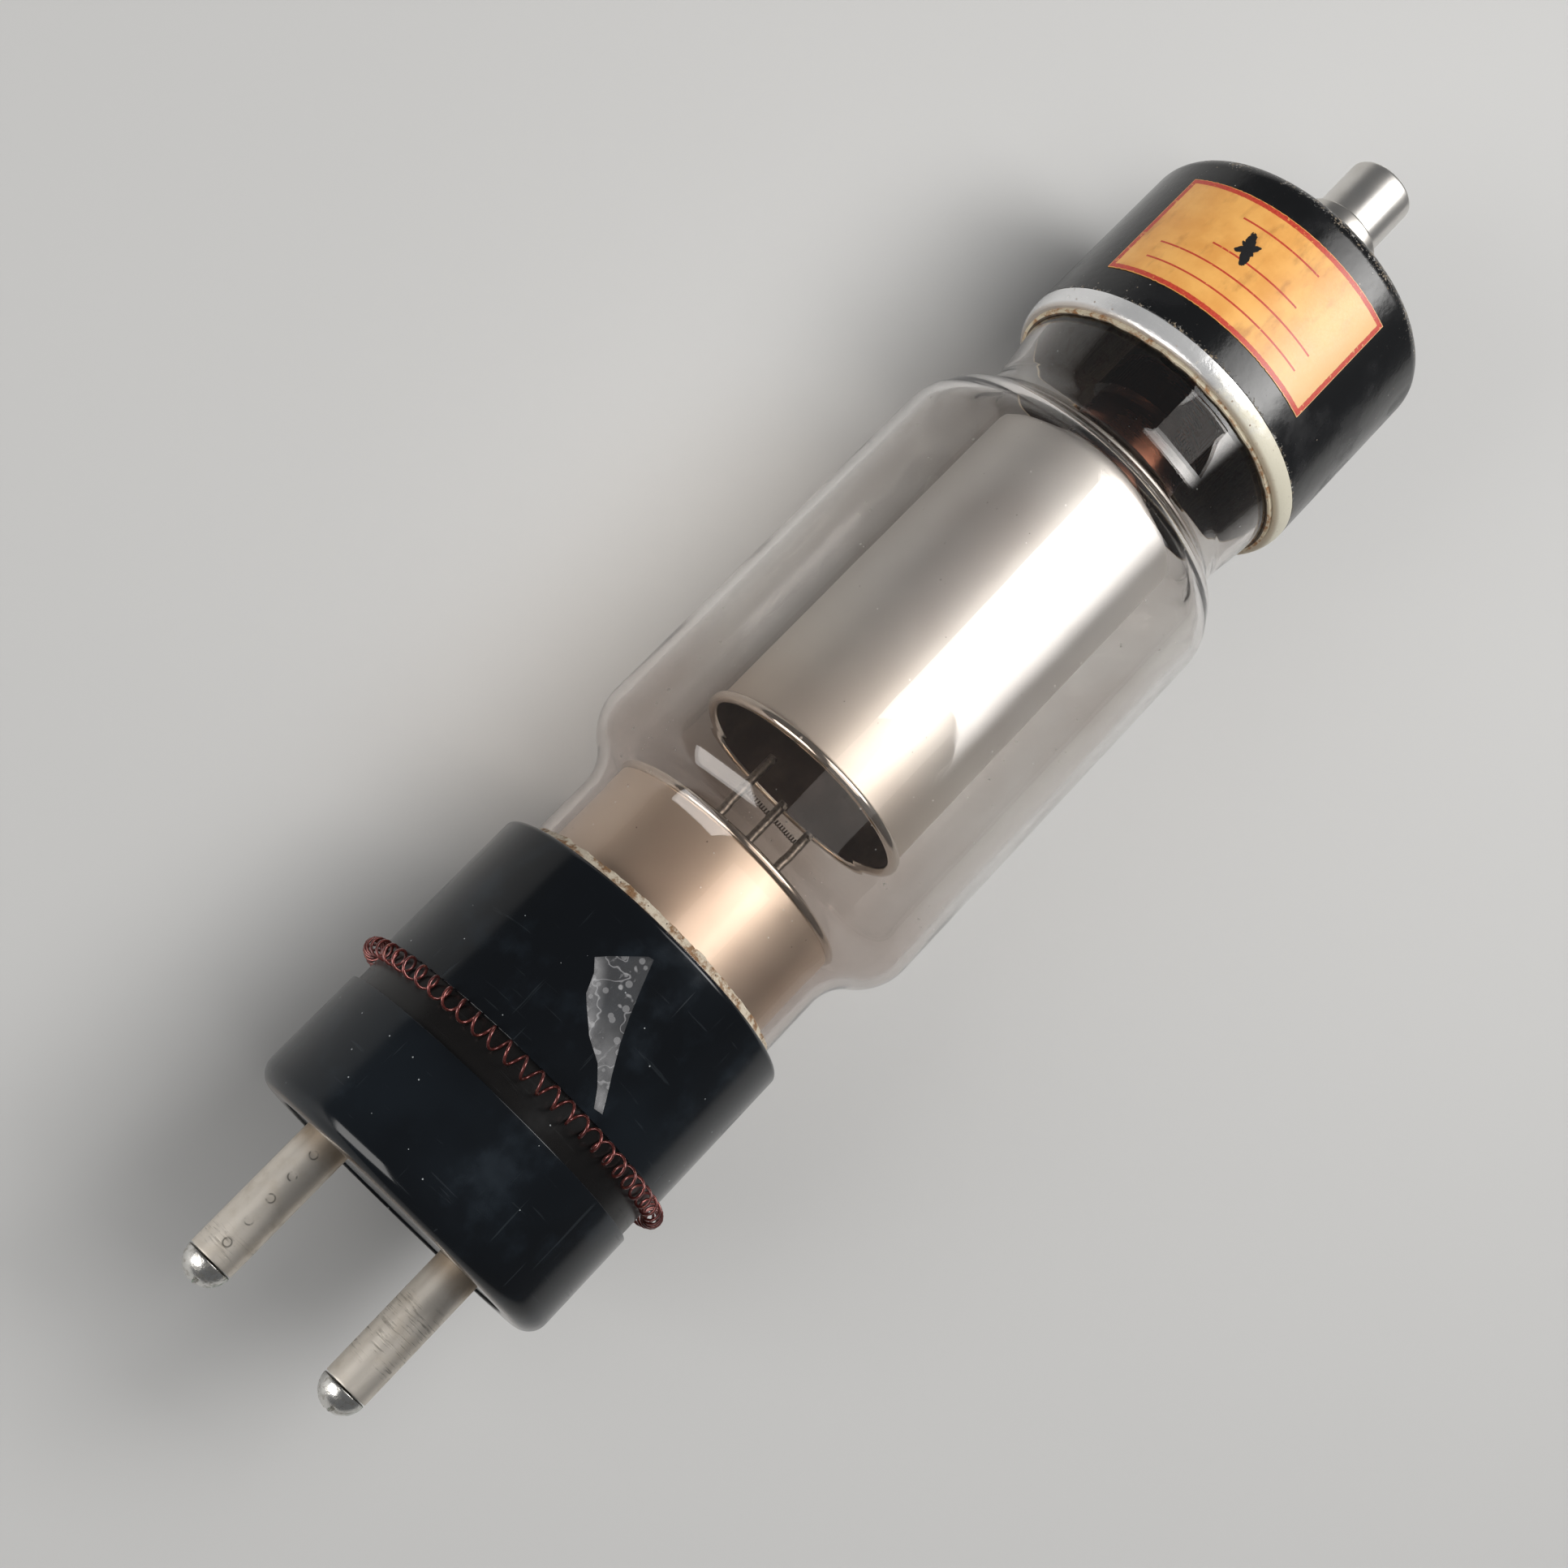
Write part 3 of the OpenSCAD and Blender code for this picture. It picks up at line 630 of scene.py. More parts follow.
@dataclass(frozen=True)
class Japan:
    """Black lacquer on sheet metal, chipped to tan and grey along its edges."""

    name: str
    radius: float
    low: float
    shoulder: float

    def build(self) -> bpy.types.Material:
        """Build the material.

        Returns:
            The material.
        """
        s = Shade(self.name)
        station, _, radius = s.polar()
        fine = s.noise(0.55 * MM, 6.0, rough=0.75)
        patch = s.noise(5.5 * MM, 4.0)
        rim = s.span(station, self.low + 1.6 * MM, self.low)
        above = s.span(station, self.shoulder - 1 * MM, self.shoulder + 2.2 * MM)
        corner = s.times(above, s.span(radius, self.radius * 0.86, self.radius * 0.95))
        edge = s.most(rim, corner)
        wear = s.plus(s.times(edge, 0.16), s.times(s.minus(patch, 0.5), 0.35))
        chipped = s.span(s.plus(fine, wear), 0.69, 0.73)
        bare = s.blend(s.span(s.noise(1.3 * MM, 4.0), 0.4, 0.6), (0.30, 0.23, 0.15), (0.45, 0.44, 0.42))
        dust = s.specks(1.5 * MM, 0.08, 0.16)
        smear = s.span(s.noise(10 * MM, 5.0), 0.46, 0.72)
        colour = s.blend(s.times(smear, 0.6), (0.0045, 0.0048, 0.0054), (0.013, 0.013, 0.0145))
        colour = s.blend(s.most(s.times(chipped, 0.8), s.times(dust, 0.7)), colour, bare)
        rough = s.plus(s.span(smear, 0.0, 1.0, 0.20, 0.36), s.times(chipped, 0.3))
        relief = s.bump(chipped, -0.03 * MM, s.bump(s.noise(2.2 * MM, 3.0), 0.05 * MM))
        s.set(Base_Color=colour, Roughness=rough, Normal=relief, IOR=1.55)
        return s.material


@dataclass(frozen=True)
class TinRing:
    """Tinned ring that turns from silver to cream in patches, painted brighter on one side, with rust
    specks.
    """

    name: str
    low: float
    high: float

    def build(self) -> bpy.types.Material:
        """Build the material.

        Returns:
            The material.
        """
        s = Shade(self.name)
        station, angle, _ = s.polar()
        patches = s.noise(3.2 * MM, 6.0, rough=0.7)
        # Partly painted highlight: real patches turn the tin to cream, and the angle term paints the +Y side
        # silver and more metallic, where the side lamp's reflection falls.
        turned = s.span(s.plus(s.times(patches, 0.9), s.span(angle, 0.9, -0.9)), 0.7, 1.2)
        rust = s.most(s.span(s.noise(0.8 * MM, 6.0, rough=0.75), 0.63, 0.68), s.specks(1.2 * MM, 0.14, 0.2))
        low_edge = s.span(station, self.low + 0.7 * MM, self.low)
        colour = s.blend(turned, (0.90, 0.90, 0.90), (0.72, 0.68, 0.55))
        colour = s.blend(s.times(rust, 0.75), colour, (0.16, 0.08, 0.035))
        colour = s.blend(s.times(low_edge, 0.5), colour, (0.30, 0.20, 0.11))
        metal = s.minus(0.62, s.most(s.times(turned, 0.5), rust), clamp=True)
        rough = s.span(s.plus(turned, rust), 0.0, 1.4, 0.22, 0.55)
        s.set(Base_Color=colour, Metallic=metal, Roughness=rough, Normal=s.bump(patches, 0.16 * MM))
        return s.material


@dataclass(frozen=True)
class LabelPaper:
    """Aged orange paper with a red border and ruled lines, on the label's own UV map."""

    name: str
    width: float
    height: float
    border: float = 1.05 * MM
    inset: float = 0.15 * MM
    rule: float = 0.22 * MM
    rules: tuple[Triple, ...] = (
        (0.18, 0.12, 0.86), (0.34, 0.12, 0.86), (0.50, 0.30, 0.70), (0.80, 0.32, 0.68),
    )
    mark_at: tuple[float, float] = (0.42, 0.60)
    arms: tuple[Triple, ...] = (
        (0.35, 1.0 * MM, 3.3 * MM), (-1.1, 0.75 * MM, 2.2 * MM), (1.9, 0.55 * MM, 1.7 * MM),
    )

    def build(self) -> bpy.types.Material:
        """Build the material.

        Returns:
            The material.
        """
        s = Shade(self.name)
        around, along = s.node("SeparateXYZ", s.node("UVMap", uv_map="label").outputs[0]).outputs[:2]
        side = s.least(around, s.minus(self.width, around))
        end = s.least(along, s.minus(self.height, along))
        ragged = s.times(s.minus(s.noise(0.5 * MM, 4.0), 0.5), 0.25 * MM)
        edge = s.plus(s.least(side, end), ragged)
        within = s.span(edge, self.border, self.border - 0.12 * MM)
        border = s.times(within, s.span(edge, self.inset - 0.1 * MM, self.inset))
        lines = self.ruled(s, around, along)
        cloud = s.noise(7 * MM, 5.0)
        fibre = s.noise(0.35 * MM, 4.0)
        stain = s.span(s.noise(3.2 * MM, 6.0, s.stretch((0.5, 1.0, 1.0))), 0.52, 0.74)
        # Painted highlight: the paper is painted paler and less orange on the side that faces the key lamp.
        washed_highlight = s.span(s.plus(around, s.times(cloud, 8 * MM)), 0.75 * self.width, 1.1 * self.width)
        paper = s.blend(s.span(cloud, 0.35, 0.68), (0.90, 0.475, 0.13), (0.78, 0.36, 0.085))
        paper = s.blend(s.times(stain, 0.55), paper, (0.42, 0.165, 0.04))
        paper = s.blend(washed_highlight, paper, (0.80, 0.50, 0.22))
        red = s.blend(s.span(fibre, 0.35, 0.65), (0.46, 0.022, 0.018), (0.58, 0.045, 0.03))
        worn = s.span(s.noise(0.9 * MM, 5.0), 0.60, 0.68)
        ink = s.times(s.most(border, lines), s.span(worn, 0.0, 1.0, 0.95, 0.35))
        colour = s.blend(ink, paper, red)
        colour = s.blend(self.scuff(s, around, along), colour, (0.010, 0.010, 0.011))
        rough = s.span(fibre, 0.3, 0.7, 0.34, 0.5)
        relief = s.bump(fibre, 0.012 * MM, s.bump(cloud, 0.12 * MM))
        s.set(Base_Color=colour, Roughness=rough, Normal=relief, Coat_Weight=0.35, Coat_Roughness=0.3)
        return s.material

    def ruled(self, s: Shade, around: Socket, along: Socket) -> Socket:
        """Four ruled lines of different lengths.

        Args:
            s: Material under construction.
            around: Length around the cap from the label's left edge.
            along: Length along the cap from its lower edge.

        Returns:
            1 on a line and 0 beside it.
        """
        drawn: object = 0.0
        for height, left, right in self.rules:
            off = s.calc("ABSOLUTE", s.minus(along, height * self.height))
            line = s.span(off, self.rule, 0.6 * self.rule)
            line = s.times(line, s.above(around, left * self.width))
            line = s.times(line, s.below(around, right * self.width))
            drawn = s.most(drawn, line)
        return drawn

    def scuff(self, s: Shade, around: Socket, along: Socket) -> Socket:
        """Torn black mark near the middle of the label.

        Args:
            s: Material under construction.
            around: Length around the cap from the label's left edge.
            along: Length along the cap from its lower edge.

        Returns:
            1 inside the mark and 0 outside.
        """
        dx = s.minus(around, self.mark_at[0] * self.width)
        dy = s.minus(along, self.mark_at[1] * self.height)
        frayed = s.times(s.minus(s.noise(0.9 * MM, 5.0, rough=0.7), 0.5), 1.5)
        drawn: object = 0.0
        for lean, width, length in self.arms:
            off = s.plus(dx, s.times(dy, lean))
            wide = s.calc("POWER", s.calc("DIVIDE", off, width * math.hypot(1, lean)), 2.0)
            reach_out = s.minus(dy, s.times(dx, lean))
            tall = s.calc("POWER", s.calc("DIVIDE", reach_out, length * math.hypot(1, lean)), 2.0)
            arm = s.span(s.plus(s.plus(wide, tall), frayed), 1.05, 0.95)
            drawn = s.most(drawn, arm)
        return drawn


@dataclass(frozen=True)
class TapeFilm:
    """Scrap of clear tape, hazy with trapped air."""

    name: str = "tape_film"
    slant: float = math.radians(1.5) / MM
    left_from: float = math.radians(-47)
    left_to: float = math.radians(-40)

    def build(self) -> bpy.types.Material:
        """Build the material.

        Returns:
            The material.
        """
        s = Shade(self.name)
        station, angle, _ = s.polar()
        bubbles = s.specks(1.7 * MM, 0.32, 0.6)
        streaks = s.noise(1.0 * MM, 5.0, s.stretch((0.25, 1.0, 1.0)), 0.7)
        wrinkles = s.span(s.calc("ABSOLUTE", s.minus(s.noise(4.5 * MM, 2.0), 0.5)), 0.018, 0.0)
        low_end = s.span(station, 41 * MM, 30 * MM)
        left_side = s.span(s.minus(angle, s.times(station, self.slant)), self.left_from, self.left_to)
        milky = s.times(s.most(low_end, left_side), s.span(s.noise(5 * MM, 4.0), 0.30, 0.62, 0.12, 0.34))
        alpha = s.plus(s.plus(milky, 0.06), s.times(bubbles, 0.2))
        alpha = s.plus(alpha, s.times(s.span(streaks, 0.60, 0.68), 0.22))
        alpha = s.plus(alpha, s.times(wrinkles, 0.35), clamp=True)
        s.set(Base_Color=(0.40, 0.40, 0.41), Roughness=s.span(streaks, 0.3, 0.7, 0.22, 0.45), Alpha=alpha)
        s.set(Normal=s.bump(bubbles, 0.05 * MM, s.bump(streaks, 0.1 * MM)))
        return s.material


@dataclass(frozen=True)
class Plain:
    """Fine-grained finish for a small piece that is mostly hidden."""

    name: str
    colour: Triple
    dark: Triple
    metallic: float = 0.0
    roughness: tuple[float, float] = (0.4, 0.7)
    size: float = 1.5 * MM

    def build(self) -> bpy.types.Material:
        """Build the material.

        Returns:
            The material.
        """
        s = Shade(self.name)
        tone = s.noise(self.size, 5.0, rough=0.65)
        s.set(Base_Color=s.blend(s.span(tone, 0.35, 0.68), self.colour, self.dark), Metallic=self.metallic)
        s.set(Roughness=s.span(tone, 0.3, 0.7, *self.roughness), Normal=s.bump(tone, 0.02 * MM))
        return s.material


# ---------------------------------------------------------------- modelling


class Outline:
    """Half-section of a turned piece: stations along X and radii, in order."""

    def __init__(self, *start: tuple[float, float]) -> None:
        """Start the outline, empty or at a point.

        Args:
            start: Station and radius of its first point, if it has one yet.
        """
        self.points = list(start)

    def to(self, x: float, r: float, steps: int = 1) -> "Outline":
        """Straight stretch to a point.

        Args:
            x: Station of its end.
            r: Radius of its end.
            steps: How many equal steps it has.

        Returns:
            The outline.
        """
        x0, r0 = self.points[-1]
        for i in range(1, steps + 1):
            share = i / steps
            self.points.append((x0 + (x - x0) * share, r0 + (r - r0) * share))
        return self

    def arc(self, x: float, r: float, radius: float, start: float, end: float, steps: int = 10) -> "Outline":
        """Arc about a centre.

        Args:
            x: Station of the centre.
            r: Radius of the centre.
            radius: Radius of the arc.
            start: First angle in degrees, 0 towards +X and 90 outwards.
            end: Last angle in degrees.
            steps: How many steps it has.

        Returns:
            The outline.
        """
        for i in range(steps + 1):
            a = math.radians(start + (end - start) * i / steps)
            self.points.append((x + radius * math.cos(a), r + radius * math.sin(a)))
        return self

    def sweep(self, a: tuple[float, float], b: tuple[float, float], wall: float, steps: int) -> "Outline":
        """S-shaped shoulder of two equal arcs, from the narrow end a to the wide end b.

        Args:
            a: Station and radius of the narrow end.
            b: Station and radius of the wide end.
            wall: How far the curve is moved inwards.
            steps: How many steps each arc has.

        Returns:
            The outline.
        """
        flip = 1 if b[0] > a[0] else -1
        length, rise = abs(b[0] - a[0]), b[1] - a[1]
        turn = 2 * math.atan(rise / length)
        bend = length / (2 * math.sin(turn))
        for i in range(steps + 1):
            t = turn * i / steps
            r = a[1] + bend - (bend + wall) * math.cos(t)
            self.points.append((a[0] + flip * (bend + wall) * math.sin(t), r))
        for i in range(steps - 1, -1, -1):
            t = turn * i / steps
            r = b[1] - bend + (bend - wall) * math.cos(t)
            self.points.append((b[0] - flip * (bend - wall) * math.sin(t), r))
        return self

    def back(self, other: "Outline") -> "Outline":
        """Return along another outline from its end to its start.

        Args:
            other: The outline to follow backwards.

        Returns:
            The outline.
        """
        self.points.extend(reversed(other.points))
        return self


class Piece:
    """A mesh under construction, from its first vertices to the dressed object."""

    def __init__(self, name: str) -> None:
        """Start an empty mesh.

        Args:
            name: Name of the piece.
        """
        self.name = name
        self.mesh = bmesh.new()

    def turned(self, outline: Outline, steps: int, closed: bool = True, centre_y: float = 0.0) -> "Piece":
        """Turn an outline about an axis along X.

        Args:
            outline: The half-section.
            steps: Steps of the full turn.
            closed: Whether its end joins its start.
            centre_y: Where the axis crosses Y.

        Returns:
            The piece.
        """
        verts = [self.mesh.verts.new((x, centre_y, r)) for x, r in outline.points]
        edges = [self.mesh.edges.new(pair) for pair in zip(verts, verts[1:], strict=False)]
        if closed:
            edges.append(self.mesh.edges.new((verts[-1], verts[0])))
        bmesh.ops.spin(
            self.mesh, geom=verts + edges, cent=(0, centre_y, 0), axis=(1, 0, 0),
            angle=math.tau, steps=steps, use_merge=True,
        )
        bmesh.ops.remove_doubles(self.mesh, verts=self.mesh.verts, dist=1e-6)
        bmesh.ops.dissolve_degenerate(self.mesh, edges=self.mesh.edges, dist=1e-7)
        bmesh.ops.recalc_face_normals(self.mesh, faces=self.mesh.faces)
        return self

    def sliced(self, place: Triple, normal: Triple) -> None:
        """Cut every face along a plane and keep both sides.

        Args:
            place: Point on the plane.
            normal: Direction square to the plane.
        """
        geom = self.mesh.verts[:] + self.mesh.edges[:] + self.mesh.faces[:]
        bmesh.ops.bisect_plane(self.mesh, geom=geom, dist=1e-7, plane_co=place, plane_no=normal)

    def finish(
        self, material: bpy.types.Material, slot: str, *nodes: str, shading: Shading = Shading.EDGED,
    ) -> bpy.types.Object:
        """Make the object, dress it and let it ride on the valve's body.

        Args:
            material: Its finish.
            slot: Material slot of the record; not used.
            nodes: CAD nodes that it stands for.
            shading: How its faces meet.

        Returns:
            The object.
        """
        data = bpy.data.meshes.new(self.name)
        self.mesh.to_mesh(data)
        self.mesh.free()
        data.shade_smooth()
        if shading is Shading.EDGED:
            data.set_sharp_from_angle(angle=math.radians(shading.value))
        made = bpy.data.objects.new(self.name, data)
        bpy.context.scene.collection.objects.link(made)
        data.materials.append(material)
        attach(made, BODY)
        if nodes:
            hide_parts(*nodes)
        LOG.info("%s: %d faces", self.name, len(data.polygons))
        return made


def dress(material: bpy.types.Material, *nodes: str) -> None:
    """Give CAD nodes a finish.

    Args:
        material: The finish.
        nodes: Names of the nodes.
    """
    for name in nodes:
        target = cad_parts[name]
        for slot in target.material_slots:
            slot.material = material
        LOG.info("%s: dressed", name)


def ends(node: str) -> tuple[float, float]:
    """Lowest and highest station of a CAD node."""
    low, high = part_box(node)
    return low.x, high.x


def reach(node: str) -> float:
    """Outer radius of a CAD node that is turned about the tube's axis."""
    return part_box(node)[1].y


# ---------------------------------------------------------------- sub-assemblies


@dataclass
class MouldedBase:
    """Moulded base with its plate, pins, cement and garter spring."""

    rim_round: float = 3.4 * MM
    top_round: float = 0.9 * MM
    edge: float = 0.18 * MM
    lip: float = 5 * MM
    lip_wide: float = 3 * MM
    groove_low: float = 20.3 * MM
    groove_wide: float = 6.9 * MM
    groove_deep: float = 0.8 * MM
    coils: int = 60
    wire: float = 0.24 * MM
    dent_first: float = -2.6 * MM
    dent_pitch: float = 4.3 * MM
    dent_count: int = 5
    dent_angle: float = math.radians(15)
    dent_wide: float = 0.75 * MM
    dent_deep: float = 0.05 * MM
    pin_edge: float = 0.12 * MM
    shank: float = 3.1 * MM
    head_thick: float = 1.5 * MM
    spigot: float = 1.6 * MM
    wire_bore: float = 1 * MM
    hollow: tuple[float, float] = (-19.4 * MM, 3 * MM)
    rub_dented: tuple[float, float] = (-23 * MM, -17 * MM)
    rub_plain: tuple[float, float] = (-20 * MM, -5 * MM)
    tip_edge: float = 0.2 * MM
    slot_deep: float = 1.1 * MM
    slot_wide: float = 0.8 * MM

    def build(self) -> None:
        """Build and dress every piece of the base."""
        self.radius = reach("base_shell")
        self.top = ends("base_shell")[1]
        self.bore = reach("base_cement")
        groove = (self.groove_low, self.groove_low + self.groove_wide)
        moulding = Moulding(radius=self.radius, groove=groove).build()
        self.shell(moulding)
        dress(moulding, "base_plate")
        for side in ("a", "b"):
            self.pin(side)
            self.tip(side)
        self.cement()
        self.spring()
        copper = Plain("hook_up_copper", (0.55, 0.25, 0.13), (0.30, 0.12, 0.06), 1.0, (0.3, 0.5)).build()
        dress(copper, "base_wire_a", "base_wire_b")

    def shell(self, material: bpy.types.Material) -> None:
        """Turn the shell with its rounded rim, spring groove and lip.

        Args:
            material: Finish of the shell.
        """
        lip_bore = self.bore - self.lip_wide
        e = self.edge
        floor = self.radius - self.groove_deep
        g0, g1 = self.groove_low, self.groove_low + self.groove_wide
        line = Outline((0, lip_bore + e))
        line.to(0, self.radius - self.rim_round, 3)
        line.arc(self.rim_round, self.radius - self.rim_round, self.rim_round, 180, 90, 16)
        line.to(g0 - e, self.radius, 8).arc(g0 - e, self.radius - e, e, 90, 0, 4)
        line.to(g0, floor, 2).to(g1, floor, 4).to(g1, self.radius - e, 2)
        line.arc(g1 + e, self.radius - e, e, 180, 90, 4).to(self.top - self.top_round, self.radius, 12)
        line.arc(self.top - self.top_round, self.radius - self.top_round, self.top_round, 90, 0, 8)
        line.to(self.top, self.bore).to(self.lip, self.bore, 6).to(self.lip, lip_bore).to(e, lip_bore)
        Piece("base_shell_skin").turned(line, steps=192).finish(material, "phenolic", "base_shell")

    def pin(self, side: str) -> None:
        """Turn one contact pin, with its shank and riveted head, and dent the first.

        Args:
            side: Letter of the pin.
        """
        node = "contact_pin_" + side
        low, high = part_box(node)
        left, right = (corner.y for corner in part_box("pin_tip_" + side))
        centre_y, r, e = (left + right) / 2, (right - left) / 2, self.pin_edge
        head = (high.y - low.y) / 2
        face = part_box("base_plate")[0].x
        head_low = high.x - self.head_thick
        deep, shallow = self.hollow
        line = Outline((low.x, self.spigot)).to(low.x, r - e)
        line.arc(low.x + e, r - e, e, 180, 90, 3).to(face, r, 80)
        line.to(face, self.shank).to(head_low, self.shank).to(head_low, head).to(high.x, head)
        line.to(high.x, self.wire_bore).to(shallow, self.wire_bore).to(shallow, 0.0)
        line.to(deep, 0.0).to(deep, self.spigot)
        made = Piece(node + "_skin").turned(line, steps=96, centre_y=centre_y)
        dented = side == "a"
        dents = [self.dent_first - self.dent_pitch * i for i in range(self.dent_count)] if dented else []
        y, z = centre_y + r * math.sin(self.dent_angle), r * math.cos(self.dent_angle)
        for x in dents:
            self.dent(made, Vector((x, y, z)), centre_y)
        rub = self.rub_dented if dented else self.rub_plain
        finish = PinNickel(node + "_nickel", centre_y, r, tuple(dents), self.dent_angle, *rub)
        made.finish(finish.build(), "pin_nickel", node)

    def dent(self, made: Piece, place: Vector, centre_y: float) -> None:
        """Press a shallow round dent into a pin.

        Args:
            made: The pin.
            place: Middle of the dent on its surface.
            centre_y: Where the pin's axis crosses Y.
        """
        for vert in made.mesh.verts:
            away = (vert.co - place).length
            if away < self.dent_wide:
                inward = Vector((0, centre_y - vert.co.y, -vert.co.z)).normalized()
                vert.co += inward * self.dent_deep * (1 - (away / self.dent_wide) ** 2)

    def tip(self, side: str) -> None:
        """Turn one round tip and cut the slot across its end.

        Args:
            side: Letter of the pin.
        """
        node = "pin_tip_" + side
        low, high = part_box(node)
        centre_y, r = (low.y + high.y) / 2, (high.y - low.y) / 2
        seam = low.x + r
        line = Outline((low.x, 0.0)).arc(seam, 0, r, 179, 96, 28)
        line.arc(seam - self.tip_edge, r - self.tip_edge, self.tip_edge, 85, 0, 4)
        line.to(seam, self.spigot).to(high.x, self.spigot).to(high.x, 0.0)
        made = Piece(node + "_skin").turned(line, closed=False, steps=96, centre_y=centre_y)
        half = self.slot_wide / 2
        for cut in (-half, half):
            made.sliced((0, centre_y + cut, 0), (0, 1, 0))
        for vert in made.mesh.verts:
            if abs(vert.co.y - centre_y) < half - 1e-6 and vert.co.x < low.x + self.slot_deep:
                vert.co.x = low.x + self.slot_deep
        made.finish(TipSolder(node + "_solder", centre_y, r, seam).build(), "tip_solder", node)

    def cement(self) -> None:
        """Ring of cement between base and glass, with a crumbled upper edge."""
        low, high = ends("base_cement")
        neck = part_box("cathode_stem")[1].y
        line = Outline((low, neck)).to(low, self.bore).to(high, self.bore, 4)
        line.to(high + 1.0 * MM, self.bore - 0.6 * MM, 2)
        line.to(high + 1.5 * MM, neck + 0.05 * MM, 3).to(high, neck)
        made = Piece("base_cement_ring").turned(line, steps=256)
        for vert in made.mesh.verts:
            if vert.co.x > high - 0.1 * MM:
                lift = noise.noise(vert.co * 420) * 0.4 + noise.noise(vert.co * 1400) * 0.25
                vert.co.x += max(lift, -0.3) * 0.6 * MM
        made.finish(Cement("basing_cement").build(), "base_cement", "base_cement")

    def spring(self) -> None:
        """Wind the garter spring as one closed helix around the groove."""
        low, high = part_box("garter_spring")
        coil = (high.x - low.x) / 2 - self.wire
        ring = high.y - (high.x - low.x) / 2
        centre = (low.x + high.x) / 2
        per_coil = 14
        curve = bpy.data.curves.new("garter_spring_path", "CURVE")
        curve.dimensions = "3D"
        curve.bevel_depth = self.wire
        curve.bevel_resolution = 2
        spline = curve.splines.new("POLY")
        count = self.coils * per_coil
        spline.points.add(count - 1)
        for i in range(count):
            around = math.tau * i / count
            uneven = 0.35 * math.sin(3 * around) + 0.22 * math.sin(7 * around + 1)
            wind = math.tau * i / per_coil + uneven
            r = ring + coil * math.cos(wind)
            x = centre + coil * math.sin(wind)
            spline.points[i].co = (x, r * math.sin(around), r * math.cos(around), 1)
        spline.use_cyclic_u = True
        holder = bpy.data.objects.new("garter_spring_holder", curve)
        bpy.context.scene.collection.objects.link(holder)
        made = Piece("garter_spring_wire")
        made.mesh.from_mesh(holder.to_mesh())
        holder.to_mesh_clear()
        bpy.data.objects.remove(holder)
        bmesh.ops.recalc_face_normals(made.mesh, faces=made.mesh.faces)
        made.finish(EnamelledCopper().build(), "enamelled_copper", "garter_spring", shading=Shading.SMOOTH)


@dataclass
class TapeScrap:
    """Torn scrap of clear tape on the side of the base."""

    lift: float = 0.06 * MM
    thick: float = 0.05 * MM
    strips: int = 14
    start: float = 28 * MM
    length: float = 22 * MM
    outline: tuple[tuple[float, float], ...] = (
        (43.9, 25.2), (45.6, 22.0), (47.3, 18.4), (49.3, 14.2), (49.5, 12.5), (45.6, 9.6), (41.6, 6.4),
        (37.6, 2.6), (33.6, -2.2), (30.6, -6.2), (28.9, -8.4), (28.6, -5.2), (31.0, -1.5), (33.4, 3.4),
        (35.2, 10.5), (38.0, 17.0), (39.3, 19.7), (42.2, 22.2),
    )

    def build(self) -> None:
        """Cut the film flat, bend it round the base and give it its thickness."""
        radius = reach("base_shell") + self.lift
        made = Piece("tape_scrap")
        verts = [made.mesh.verts.new((x * MM, math.radians(turn), 0)) for x, turn in self.outline]
        made.mesh.faces.new(verts)
        low, high = (f(v.co.y for v in verts) for f in (min, max))
        for i in range(1, self.strips):
            made.sliced((0, low + (high - low) * i / self.strips, 0), (0, 1, 0))
            made.sliced((self.start + self.length * i / self.strips, 0, 0), (1, 0, 0))
        for vert in made.mesh.verts:
            x, turn = vert.co.x, vert.co.y
            ripple = 0.09 * MM * abs(noise.noise(Vector((x * 300, turn * 9, 0))))
            r = radius + ripple
            vert.co = (x, r * math.sin(turn), r * math.cos(turn))
        bmesh.ops.recalc_face_normals(made.mesh, faces=made.mesh.faces)
        bmesh.ops.solidify(made.mesh, geom=made.mesh.faces[:], thickness=self.thick)
        made.finish(TapeFilm().build(), "envelope_glass", shading=Shading.SMOOTH)


